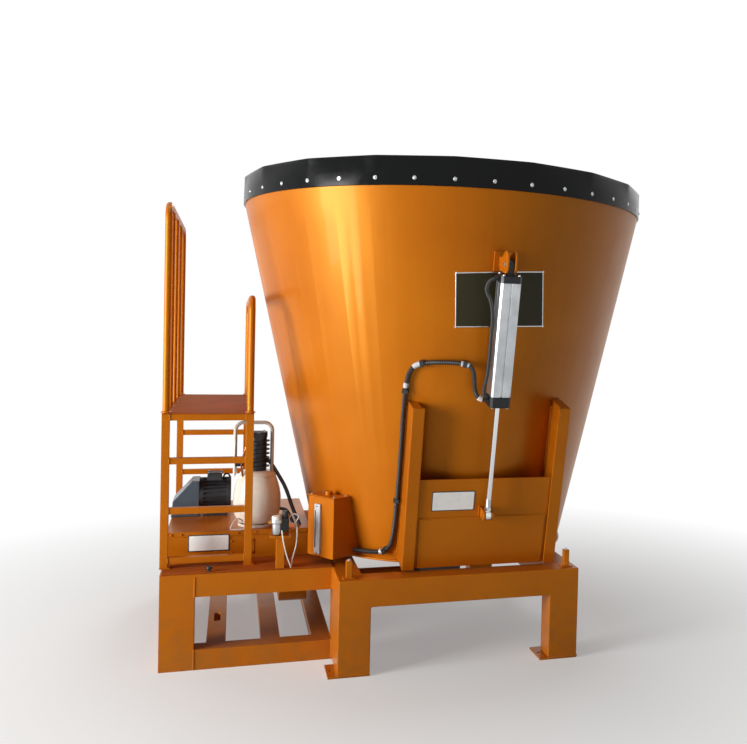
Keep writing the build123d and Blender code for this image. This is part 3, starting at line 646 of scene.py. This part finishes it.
def on_tub(x, z, off=0.0):
    """Points on the tub's front: y from the cone's radius at z, widened by off, and from x."""
    x, z = np.asarray(x, float), np.asarray(z, float)
    r = FLOOR_R + (z - FLOOR_Z) * TAPER + off
    return np.stack([x + 0 * r, -np.sqrt(r * r - x * x), z + 0 * x], -1)


def on_slope(x, s, off):
    """A point of the sloping front plane: x across, s up the slope from the floor, off outwards."""
    return np.array([0.0, -FLOOR_R, FLOOR_Z]) + x * SIDE + s * UP_SLOPE + off * OFF_SLOPE


def on_oil_tank(x, z, out):
    """A place on the oil tank: x across its face, z up, out from its front face; and its x axis."""
    turn, face_off = math.radians(55.4), 900
    across = np.array([math.cos(turn), -math.sin(turn), 0.0])
    outward = np.array([-math.sin(turn), -math.cos(turn), 0.0])
    return outward * (face_off + out) + across * x + UP * z, across


def from_axis(path):
    """The direction straight away from the tub's axis at each point."""
    return unit(np.asarray(path, float) * (1, 1, 0))


# How a shape and a CAD node become pieces

def linked(name, mesh, material, sharp):
    """An object of a mesh in the scene, with one material, smooth below an angle in degrees."""
    mesh.materials.clear()
    mesh.materials.append(material)
    mesh.polygons.foreach_set("use_smooth", np.ones(len(mesh.polygons), bool))
    mesh.set_sharp_from_angle(angle=math.radians(sharp))
    thing = bpy.data.objects.new(name, mesh)
    bpy.context.scene.collection.objects.link(thing)
    return thing


def piece(name, shape, kind, body="machine", stands_for=()):
    """A piece of a shape in millimetres: points that meet joined, and faces turned outwards.

    Its material is the one that goes with its finish.
    """
    meet, sharp = 2e-6, 35
    points, faces = shape
    mesh = bpy.data.meshes.new(name)
    mesh.from_pydata((points * MM + AXIS).tolist(), [], faces)
    work = bmesh.new()
    work.from_mesh(mesh)
    bmesh.ops.remove_doubles(work, verts=work.verts, dist=meet)
    bmesh.ops.recalc_face_normals(work, faces=work.faces)
    work.to_mesh(mesh)
    work.free()
    thing = linked(name, mesh, look[kind], sharp)
    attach(thing, body)
    if stands_for:
        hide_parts(*stands_for)


def eased(node, kind, width):
    """A joined copy of a CAD node that stands for it: flat regions made one face, sharp edges
    rounded to a width in millimetres."""
    meet, flat, sharp, rounded_from = 1e-5, 0.5, 28, 40
    source = frame["nodes"][node]
    mesh = source.data.copy()
    work = bmesh.new()
    work.from_mesh(mesh)
    bmesh.ops.remove_doubles(work, verts=work.verts, dist=meet)
    bmesh.ops.dissolve_limit(work, angle_limit=math.radians(flat), verts=work.verts, edges=work.edges)
    work.to_mesh(mesh)
    work.free()
    thing = linked(node + "_eased", mesh, look[kind], sharp)
    if width:
        rounding = thing.modifiers.new("rounding", "BEVEL")
        rounding.width = width * MM
        rounding.segments = 2
        rounding.limit_method = "ANGLE"
        rounding.angle_limit = math.radians(rounded_from)
        rounding.harden_normals = True
    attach(thing, source["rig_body"])
    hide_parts(node)


# Rim band, badge and signs

def rim_band():
    """The band, a ring whose top is drawn towards flats between every second bolt.

    Going up from the bolts' row, the radius falls by a growing share of the gap between the
    circle and the chord at that angle, and the top edge dips by up to 4 mm in a slow wave.
    """
    low, high, thick, edge = WALL_TOP_Z, WALL_TOP_Z + BAND_HEIGHT, BAND_THICK, 1.5
    half = 2 * np.pi / RIM_BOLTS
    a = np.linspace(0, 2 * np.pi, 12 * RIM_BOLTS, endpoint=False)
    local = (a - RIM_BOLT_TURN + half) % (2 * half) - half
    gap = 1 - np.cos(half) / np.cos(local)
    rows = np.array([
        (edge, low), (0, low + 2), (0, low + 55), (0, low + 80), (0, low + 105), (0, low + 125),
        (0, high - 2), (edge, high), (thick - edge, high), (thick, high - 2), (thick, low + 105),
        (thick, low + 70), (thick, low + 2), (thick - edge, low), (edge, low)])
    depth, z = rows[:, :1], rows[:, 1:]
    pull = np.clip((z - low - 64) / 80, 0, 1)
    r = (BAND_R - depth) * (1 - 0.8 * pull * gap)
    dip = pull * (2 - 2 * np.sin(3 * a + 0.6) * np.cos(2 * a))
    return round_tub(a, r, z - dip).reshape(-1, 3), quads(len(rows), len(a))


def badge_plate(off, inset, thick):
    """A sheet bent to the tub between four corners: shares u across and v up mix the corners'
    places, its back stands off the cone and its front off the back, and a rim joins the two."""
    rows, cols = 15, 25
    u = np.linspace(0, 1, cols) * (1 - 2 * inset / BADGE_SIZE[0]) + inset / BADGE_SIZE[0]
    v = np.linspace(0, 1, rows) * (1 - 2 * inset / BADGE_SIZE[1]) + inset / BADGE_SIZE[1]
    u, v = (grid[..., None] for grid in np.meshgrid(u, v))
    low_left, low_right, high_right, high_left = BADGE_CORNERS
    flat = (1 - v) * ((1 - u) * low_left + u * low_right) + v * ((1 - u) * high_left + u * high_right)
    front = on_tub(flat[..., 0], flat[..., 1], off + thick)
    back = on_tub(flat[..., 0], flat[..., 1], off)
    faces = quads(rows, cols, wrap=False)
    count = rows * cols
    faces += [[i + count for i in face[::-1]] for face in faces]
    rim = np.concatenate([
        np.arange(cols), np.arange(2 * cols - 1, count, cols),
        np.arange(count - 2, count - cols - 1, -1), np.arange(count - 2 * cols, 0, -cols)])
    following = np.roll(rim, -1)
    faces += np.stack([rim, rim + count, following + count, following], -1).tolist()
    return np.concatenate([front.reshape(-1, 3), back.reshape(-1, 3)]), faces


def badge_border(off, inner, outer, thick):
    """A thin bar along each edge of the badge, midway between two insets: a tube bent to the tub."""
    bars = []
    for a, b in zip(BADGE_CORNERS, np.roll(BADGE_CORNERS, -1, 0)):
        path = a + (b - a) * np.linspace(0, 1, 25)[:, None]
        towards = unit(BADGE_MIDDLE - path.mean(0))
        square = unit(np.array([a[1] - b[1], b[0] - a[0]]))
        path = path + towards * abs(towards @ square) * (inner + outer) / 2
        points = on_tub(path[:, 0], path[:, 1], off + thick)
        bars.append(tube(points, (outer - inner) / 2, UP + 0.3 * SIDE, 8))
    return joined(*bars)


def door_sheet(off, inset, thick):
    """A flat sheet of the door's sign at a stand-off, its heights turned to distances up the slope."""
    x0, x1, low, high = DOOR_SIGN
    s0, s1 = ((z - FLOOR_Z + off * math.sin(SLOPE)) / math.cos(SLOPE) for z in (low, high))
    shape = plate(x1 - x0 - 2 * inset, s1 - s0 - 2 * inset, 0, thick, 5, 0.4)
    return placed(shape, on_slope((x0 + x1) / 2, (s0 + s1) / 2, off), SIDE, UP_SLOPE)


def housing_sheet(y, inset, thick):
    """A flat sheet of the housing's sign on its upright front."""
    x0, x1, low, high = HOUSING_SIGN
    shape = plate(x1 - x0 - 2 * inset, high - low - 2 * inset, 0, thick, 5, 0.4)
    return placed(shape, ((x0 + x1) / 2, y, (low + high) / 2), SIDE, UP)


def add_band_and_plates():
    """The rim band with its bolts, the badge plate and the two signs, all blank."""
    piece("rim_band_ring", rim_band(), "band", stands_for=("rim_band",))
    turns = RIM_BOLT_TURN + 2 * np.pi * np.arange(RIM_BOLTS) / RIM_BOLTS
    round_rim = np.stack([np.cos(turns), np.sin(turns), 0 * turns], -1)
    heads = copies(round_head(8.5), round_tub(turns, BAND_R - 0.4, RIM_BOLT_Z), round_rim, UP)
    piece("rim_bolts", heads, "zinc")
    piece("badge_sheet", badge_plate(0.4, 8, 2.0), "badge")
    piece("badge_border", badge_border(0.6, 3, 9, 1.2), "silver")
    piece("door_sign_edge", door_sheet(44.2, 0, 1.6), "edge", "door")
    piece("door_sign", door_sheet(44.6, 5, 1.8), "sign", "door")
    piece("housing_sign_edge", housing_sheet(HOUSING_FRONT - 0.2, 0, 1.6), "edge")
    piece("housing_sign", housing_sheet(HOUSING_FRONT - 0.6, 5, 1.8), "sign")


# Auger

def flight_section(turns):
    """Angle, height and outer radius of the flight after a number of turns, as in the part."""
    share = turns / FLIGHT_TURNS
    return 2 * np.pi * turns, FLIGHT_Z + share * FLIGHT_RISE, FLIGHT_R - share * FLIGHT_NARROWS


def core_radius(z):
    """The auger core's radius at a height."""
    return CORE_R - (z - CORE_Z) / CORE_HEIGHT * CORE_NARROWS


def auger_flight():
    """The flight: a strip's section with a rounded outer edge, carried round and up a tapering helix.

    Each point of the section has its share of the way from the root to the edge, a trim and a height.
    """
    root = 6
    section = np.array([
        (0, 0, 0), (0, 0, -6), (1, -9, -6), (1, -2, -3), (1, -2, 3), (1, -9, 6), (0, 0, 6), (0, 0, 3)])
    share, trim, height = section.T[:, None]
    angle, z, outer = flight_section(np.linspace(0, FLIGHT_TURNS, 289)[:, None])
    inner = core_radius(z) - root
    r = inner + share * (outer - inner) + trim
    points = np.stack([r * np.cos(angle), r * np.sin(angle), z + height], -1)
    rows, cols = r.shape
    faces = quads(rows, cols)
    faces += [list(range(cols)), list(range((rows - 1) * cols, rows * cols))[::-1]]
    return points.reshape(-1, 3), faces


def flight_weld():
    """The bead between the core and the flight's upper side, along their common helix."""
    angle, z, _ = flight_section(np.linspace(0.004, 2.245, 700))
    r = core_radius(z + 8) + 1
    return bead(np.stack([r * np.cos(angle), r * np.sin(angle), z + 7], -1), 6, UP)


def knife_bolts():
    """Two bolts through each knife, set in the knife's own tilted axes."""
    beside, out_by, above = 48, 12, 14
    places, radial, along = [], [], []
    for turns in KNIFE_TURNS:
        angle, z, r = flight_section(turns)
        pitch = math.atan(FLIGHT_RISE / FLIGHT_TURNS / (2 * math.pi * r))
        out = np.array([math.cos(angle), math.sin(angle), 0.0])
        level = np.array([-math.sin(angle), math.cos(angle), 0.0])
        climbing = level * math.cos(pitch) + UP * math.sin(pitch)
        for shift in (-beside, beside):
            places.append(out * (r + out_by) + climbing * shift + np.cross(out, climbing) * above + UP * z)
            radial.append(out)
            along.append(climbing)
    return copies(bolt(9), places, radial, along)


def add_auger():
    """The flight, its weld and the knives' bolts."""
    piece("flight_strip", auger_flight(), "worn", "auger", ("auger_flight",))
    piece("flight_weld", flight_weld(), "worn", "auger")
    piece("knife_bolts", knife_bolts(), "zinc", "auger")


# Welds

def frame_welds():
    """Beads at the frames' joints: upright where the drive frame's beams end, level along the feet
    and under the main frame's beams."""
    left, right, front, rear = FRAME_LEFT, FRAME_RIGHT, FRAME_FRONT, FRAME_REAR
    inner_left, inner_right = left + LEG_WIDTH, right - LEG_WIDTH
    corners = [(x, y, FOOT_TOP) for x in (left, right) for y in (front, rear - LEG_DEPTH)]
    drive_ends, end_run = [(left - 1, DRIVE_FRONT, z) for z in (DRIVE_TOP_Z, DRIVE_LOW_Z)], 104
    shapes = [beads(drive_ends, (0, 0, end_run), 5, BACK)]
    shapes += [beads([(left, y, FOOT_TOP), (inner_right, y, FOOT_TOP)], (LEG_WIDTH, 0, 0), 5, UP)
               for y in (front, rear)]
    shapes.append(beads(corners, (0, LEG_DEPTH, 0), 5, UP))
    shapes += [beads([(inner_left, y, BEAM_LOW), (inner_right, y, BEAM_LOW)], (0, BEAM_RUN, 0), 4, UP)
               for y in (front + 1, rear - BEAM_RUN - 1)]
    for y in (DRIVE_FRONT, rear):
        ends = [(DRIVE_LEG, y, z) for z in (DRIVE_TOP_Z, DRIVE_LOW_Z)]
        shapes.append(beads(ends, (0, 0, DRIVE_BEAM_RUN), 4, BACK))
    return joined(*shapes)


def ladder_welds():
    """Short upright beads where each rung meets its two posts, on the outer and inner faces."""
    faces_y, posts_x = (-484.0, -449.0, 811.0, 776.0), (-1487.0, -1121.0)
    rungs_z = (508.0, 759.0, 1011.0, 1231.0)
    return beads([(x, y, z) for y in faces_y for x in posts_x for z in rungs_z], (0, 0, 28), 3, BACK)


def rail_welds():
    """Beads where the door rails meet the tub, down both sides: from lower down on the outer ones."""
    sides = ((-356.0, 545), (-306.0, 930), (418.0, 930), (468.0, 545))
    return joined(*(bead(on_tub(x, np.linspace(low, 1335, 40), 2), 7, SIDE) for x, low in sides))


def door_welds():
    """The long bead on the doubler's ledge and the short ones down its left end and by the clevis.

    Each runs between two points of the door, given as (x, distance up the slope, stand-off).
    """
    runs = (((-280, 270, 45), (394, 270, 45), 3), ((-281, 268, 46), (-281, 180, 46), 4),
            ((-276, 262, 49), (-232, 262, 49), 5), ((28, 276, 45), (28, 328, 45), 4),
            ((88, 276, 45), (88, 328, 45), 4))
    return joined(*(bead([on_slope(*start), on_slope(*end)], r, OFF_SLOPE) for start, end, r in runs))


def add_welds():
    """Every visible weld bead, painted over."""
    piece("frame_welds", frame_welds(), "paint")
    piece("ladder_welds", ladder_welds(), "paint")
    piece("rail_welds", rail_welds(), "paint")
    piece("door_welds", door_welds(), "paint", "door")


# Conduit, hose and actuator

def add_conduit_and_hose():
    """The ribbed conduit with its collars and gland, and the hose up the barrel with its glands."""
    x, z, off = np.array(CONDUIT_ROUTE, float).T
    path = spline(on_tub(x, z, off))
    conduit = ribbed(path, 12, 9, 2.4, from_axis, 14)
    piece("conduit_ribs", conduit, "nylon", stands_for=("conduit",))
    run = spaced(path, 1.0)
    collars = []
    for x, z, length in ((-100, 1552, 44), (-330, 1547, 44), (-374, 1440, 26), (-430, 554, 34)):
        mark = int(np.argmin(np.hypot(run[:, 0] - x, run[:, 2] - z)))
        collars.append(sleeve(path, mark - length / 2, length, 12.8))
    piece("conduit_collars", joined(*collars), "grey")
    piece("conduit_gland", sleeve(path, 34, 22, 14), "white")
    route = np.array([on_slope(CYL_X + x, s, CYL_OFF) for x, s in HOSE_ROUTE])
    hose = ribbed(spline(route), 10, 9, 2, OFF_SLOPE, 12)
    piece("hose_line", hose, "nylon", stands_for=("upper_hose",))
    gland = lathe([(0, 0), (12, 0), (13.5, 1.5), (13.5, 14), (12, 17), (11, 22), (0, 22)], 6)
    ends = [on_slope(CYL_X - 51, s, CYL_OFF) for s in (HOSE_ROUTE[0][1], HOSE_ROUTE[-1][1])]
    piece("hose_glands", copies(gland, ends, OFF_SLOPE, UP_SLOPE), "cap")


def bracket_ear():
    """An ear of the actuator's bracket about its pin: straight from the tub, an arc over the pin."""
    over = arc((0, 30), 36, 0, 126.3, 25)
    toe = arc((12, -18), 24, -90, 0, 9)
    outline = np.concatenate([[(-88.0, -42.0)], toe, over, [(-88.0, 10.0)]])
    return slab(outline, [(1.2, 0), (0, 1.2), (0, 9.6), (1.2, 10.8)])


def add_actuator_details():
    """Socket screws in the end caps, the rod's thread, the bracket's ears and the pins' washers."""
    head = lathe([(0, -1), (6.5, -1), (6.5, 5), (5.8, 6), (3.4, 6), (3.4, 3), (0, 3)], 14)
    corners = [(a, b) for a in (-38, 38) for b in (-38, 38)]
    tops, lows = ([on_slope(CYL_X + a, s, CYL_OFF + b) for a, b in corners] for s in (TOP_CAP_S, LOW_CAP_S))
    screws = joined(copies(head, tops, OFF_SLOPE, SIDE), copies(head, lows, SIDE, OFF_SLOPE))
    piece("cap_screws", screws, "zinc")
    path = spaced([on_slope(CYL_X, s, CYL_OFF) for s in (347, 392)], 1.0)
    thread = tube(path, 13.4 + 0.9 * ridges(len(path), 0.5), SIDE, 20)
    piece("rod_thread", thread, "zinc", "rod")
    places = [on_slope(CYL_X + a, TUB_PIN_S, CYL_OFF) for a in (-14.8, 25.6)]
    piece("bracket_ears", copies(bracket_ear(), places, OFF_SLOPE, UP_SLOPE), "paint")
    washer = lathe([(10.4, 0), (16, 0), (16, 2.4), (10.4, 2.4), (10.4, 0)], 24)
    for body, s in (("machine", TUB_PIN_S), ("door", DOOR_PIN_S)):
        at_pin = placed(washer, on_slope(CYL_X + 25.2, s, CYL_OFF), UP_SLOPE, OFF_SLOPE)
        piece("pin_washers_" + body, at_pin, "zinc", body)


# Oil tank, compressor and air unit

def add_oil_tank_details():
    """The level gauge with its pale frame and dark glass, and the lid's screws."""
    shell = plate(44, 262, 0, 12, 4, 2)
    glass = plate(8, 196, 11.4, 12.6, 3.5, 0.5)
    origin, across = on_oil_tank(-16, 660, 0.2)
    gauge = placed(shell, origin, across, UP)
    piece("gauge_frame", gauge, "grey", stands_for=("level_gauge",))
    slit = on_oil_tank(-28, 660, 0.2)[0]
    piece("gauge_glass", placed(glass, slit, across, UP), "gauge")
    places = [on_oil_tank(-16, z, 12)[0] for z in (538, 782)]
    piece("gauge_bolts", copies(bolt(7), places, across, UP), "zinc")
    places = [on_oil_tank(x, 834, -depth)[0] for x in (-88, 88) for depth in (12, 90)]
    piece("oil_lid_screws", copies(bolt(6), places, SIDE, BACK), "zinc")


def add_compressor():
    """The receiver with a step under its top, the pump's screws, pipes and switch, the wire foot."""
    x, y, low, high = -1054.0, -206.0, 646.0, 931.0
    tank = lathe([
        (0, high), (66, high), (82, high - 3), (92, high - 12), (95, high - 20), (97.6, high - 22),
        (97.6, high - 27), (96, high - 29), (106, high - 56), (115, high - 84), (121, high - 110),
        (125, high - 138), (126, high - 160), (126, low + 108), (124, low + 78), (119, low + 50),
        (110, low + 27), (97, low + 10), (82, low + 2), (66, low), (0, low)], 72)
    receiver = moved(tank, (x, y, 0))
    piece("receiver_shell", receiver, "cream", stands_for=("compressor_tank",))
    screws = [(x + a, y + b, 1140) for a in (-32, 32) for b in (-32, 32)]
    piece("pump_screws", copies(bolt(6), screws, SIDE, BACK), "zinc")
    pipe = small_tube([
        (x - 30, y - 48, 1120), (x - 34, y - 84, 1122), (x - 60, y - 100, 1080),
        (x - 84, y - 90, 1000), (x - 86, y - 74, 950), (x - 76, y - 58, 905)], 5, UP + SIDE)
    piece("discharge_pipe", pipe, "copper")
    vents = [small_tube([
        (x + a, y - 60, 1132), (x + a - 6, y - 92, 1128), (x + a - 16, y - 92, 1060),
        (x + a - 8, y - 60, 1040)], 3.4, SIDE) for a in (-46, -34)]
    piece("pump_vent_tubes", joined(*vents), "pe")
    switch = placed(plate(46, 54, 0, 40, 6, 3), (x - 96, y - 36, 960), SIDE, BACK)
    piece("pressure_switch", switch, "cap")
    wire = small_tube([
        (-1112, -326, 668), (-1108, -338, 646), (-1112, -342, 638), (-1148, -342, 637),
        (-1186, -342, 638), (-1190, -340, 650), (-1172, -336, 680), (-1156, -334, 696),
        (-1140, -330, 690), (-1128, -324, 676)], 4, BACK)
    piece("receiver_wire_foot", wire, "white")


def add_air_unit():
    """The filter's bowl and cap, the regulator's block, knob and collar, fittings, tubes and hoses."""
    x, y, low = -964.0, -572.0, 652.0
    block_x, knob_x, collar_x = -932, -924, -906
    bowl = lathe([
        (0, low), (13, low), (21, low + 5), (24, low + 14), (24, low + 58), (29, low + 60),
        (30, low + 62), (30, low + 78), (29, low + 80), (0, low + 80)], 36)
    piece("filter_bowl", moved(bowl, (x, y, 0)), "barrel", stands_for=("air_regulator",))
    cap = lathe([
        (0, low + 80), (26, low + 80), (26, low + 92), (23, low + 98), (14, low + 101), (0, low + 102)], 36)
    piece("filter_cap", moved(cap, (x, y, 0)), "white")
    block = moved(plate(52, 36, low + 20, low + 84, 4, 3), (block_x, y, 0))
    piece("regulator_block", block, "cap")
    teeth = np.arange(48)
    a, knurl = teeth * 2 * np.pi / 48, 16 - 0.9 * (teeth % 2)
    outline = np.stack([knurl * np.cos(a), knurl * np.sin(a)], -1)
    knob = slab(outline, [(1, low + 84), (0, low + 86), (0, low + 120), (2, low + 124)])
    piece("regulator_knob", moved(knob, (knob_x, y, 0)), "cap")
    collar = lathe([(0, 0), (17, 0), (17, 26), (15, 28), (0, 28)], 6)
    collar = placed(collar, (collar_x, y, low + 44), BACK, UP)
    piece("regulator_collar", collar, "copper")
    elbow = lathe([(0, 0), (9, 0), (9, 10), (7, 12), (7, 20), (0, 20)], 6)
    fittings = joined(placed(elbow, (collar_x, y, low + 52), BACK, UP),
                      placed(elbow, (-988, y, low + 66), UP, BACK))
    piece("air_fittings", fittings, "brass")
    tubes = (
        ([(-888, y, low + 52), (-868, y - 4, low + 54), (-862, y - 8, low + 20), (-868, y - 12, 590),
          (-884, y - 12, 540), (-890, y - 10, 500), (-890, y - 4, 482)], SIDE + BACK),
        ([(-940, y - 20, low + 26), (-938, y - 44, low + 6), (-930, y - 40, 610), (-912, y - 24, 540),
          (-896, y - 14, 500), (-892, y - 12, 482)], SIDE + BACK),
        ([(-884, y, low + 52), (-862, y + 2, low + 72), (-856, y + 2, low + 96), (-880, y + 2, low + 108),
          (-902, y + 1, low + 96), (-906, y, low + 78)], BACK))
    tubes = joined(*(small_tube(points, 3, across) for points, across in tubes))
    piece("air_tubes", tubes, "pe")
    hoses = (
        ([(-1012, -206, 1000), (-984, -204, 968), (-941, -204, 897), (-901, -206, 826), (-867, -220, 719),
          (-826, -240, 625), (-796, -280, 556), (-772, -330, 508), (-735, -400, 494)], 10),
        ([(-935, -206, 716), (-905, -206, 714), (-885, -212, 690), (-852, -232, 610), (-820, -262, 545),
          (-792, -305, 504), (-735, -380, 493)], 9))
    hoses = joined(*(small_tube(points, r, BACK, 12) for points, r in hoses))
    piece("air_hoses", hoses, "nylon")


# Drive frame and step stand

def add_drive_details():
    """Screws of the housing's lid and cover, the motor's lid, screws, eye and foot bolts, the cowl's
    bolts, the bolts on the lugs and round the gearbox, and the knob on the deck."""
    lid = [(x, HOUSING_FRONT, 619) for x in (-1480, -1430, -1150, -1060, -970, -880, -800)]
    cover = [(x, HOUSING_FRONT, z) for x in (-1180, -1079) for z in (514, 576)]
    piece("housing_screws", copies(bolt(6), lid + cover, SIDE, UP), "paint")
    motor_y, box_x, box_top = 150, -1280, HOUSING_TOP + 112 + 95 + 26
    box_lid = placed(plate(84, 94, 0, 4, 6, 1.5), (box_x, motor_y, box_top), SIDE, BACK)
    piece("terminal_lid", box_lid, "motor")
    corners = [(box_x + a, motor_y + b, box_top + 4) for a in (-34, 34) for b in (-39, 39)]
    piece("terminal_screws", copies(bolt(4), corners, SIDE, BACK), "zinc")
    a = np.linspace(0, np.pi, 40)
    eye = np.stack([-1215 + 18 * np.cos(a), motor_y + 0 * a, 832 + 26 * np.sin(a)], -1)
    piece("lifting_eye", tube(eye, 5, BACK, 12), "motor")
    feet = [(x, motor_y + b, 646) for x in (-1325, -1225) for b in (-78, 78)]
    piece("motor_foot_bolts", copies(bolt(9), feet, SIDE, BACK), "zinc")
    on_cowl = [(-1434, y, 776) for y in (100, 200)]
    bolts = copies(bolt(8), on_cowl, BACK, np.array([-100.0, 0.0, -110.0]))
    piece("cowl_bolts", bolts, "zinc")
    on_lugs = [(x, y, 566) for x in (-627, 521) for y in (-814, 814)]
    piece("lug_bolts", copies(bolt(9), on_lugs, SIDE, BACK), "zinc")
    knob = lathe([(0, 0), (7, 0), (7, 10), (14, 13), (16, 19), (14, 25), (8, 28), (0, 28)], 24)
    piece("deck_knob", placed(knob, (box_x - 6, -578, 484), SIDE, BACK), "cap")
    round_flange = round_tub(np.arange(12) * np.pi / 6 + 0.2, 208, 476)
    piece("gearbox_bolts", copies(bolt(9), round_flange, BACK, SIDE), "zinc")


def add_stand_details():
    """Collars at the feet of the handrails' tubes and of their thinner bars."""
    left, right, front, span = -1506, -1102, -467, 1261.0
    collar = lathe([(17, 0), (25, 0), (25, 4), (21, 8), (17, 9), (17, 0)], 28)
    slim = lathe([(12, 0), (18, 0), (18, 3), (15, 6), (12, 6), (12, 0)], 24)
    ends = [(x, front + share * span, STEP_TOP) for x in (left, right) for share in (0, 1)]
    bars = [(left, front + span * i / 4, STEP_TOP) for i in (1, 2, 3)]
    bars.append((right, front + span / 2, STEP_TOP))
    collars = joined(copies(collar, ends, SIDE, BACK), copies(slim, bars, SIDE, BACK))
    piece("handrail_collars", collars, "paint")


# CAD nodes that keep their shape: finish, and the width of their rounded edges in millimetres
EASED = (
    ("tub_wall", "paint", 0), ("tub_floor", "paint", 1.5), ("outlet_sill", "paint", 1.5),
    ("main_frame", "paint", 7), ("foot_plates", "paint", 1.5), ("drive_frame", "paint", 7),
    ("drive_deck", "tread", 1.5), ("drive_housing", "paint", 5), ("belt_guard", "paint", 3),
    ("shaft_guard", "paint", 2), ("frame_lugs", "paint", 2), ("door_rail_left", "paint", 2.5),
    ("door_rail_right", "paint", 2.5), ("door_panel", "paint", 1.5), ("door_clevis", "paint", 1.5),
    ("actuator_bracket", "paint", 1.5), ("step_front", "paint", 2.5), ("step_rear", "paint", 2.5),
    ("step_sides", "paint", 2.5), ("step_deck", "tread", 1.5), ("handrail_left", "paint", 0),
    ("handrail_right", "paint", 0), ("air_post", "paint", 2), ("oil_tank", "paint", 4),
    ("gearbox", "cast", 3), ("weigh_cells", "zinc", 2), ("bracket_pin", "zinc", 1),
    ("conduit_clips", "nylon", 0.8), ("actuator_barrel", "barrel", 1.5), ("actuator_low_cap", "cap", 1.5),
    ("actuator_top_cap", "cap", 1.5), ("actuator_rod", "chrome", 0.8), ("auger_core", "worn", 0),
    ("auger_kicker", "worn", 2), ("auger_knives", "knife", 0.6), ("motor_body", "motor", 1),
    ("motor_cowl", "cowl", 4), ("compressor_pump", "motor", 0.8), ("compressor_handle", "white", 0),
    ("compressor_foot", "white", 2))

bpy.context.scene.view_settings.view_transform = "Standard"
aim_camera()
look = make_finishes()
surround()
light_studio()
lay_floor()

for node, kind, width in EASED:
    eased(node, kind, width)

add_band_and_plates()
add_auger()
add_welds()
add_conduit_and_hose()
add_actuator_details()
add_oil_tank_details()
add_compressor()
add_air_unit()
add_drive_details()
add_stand_details()
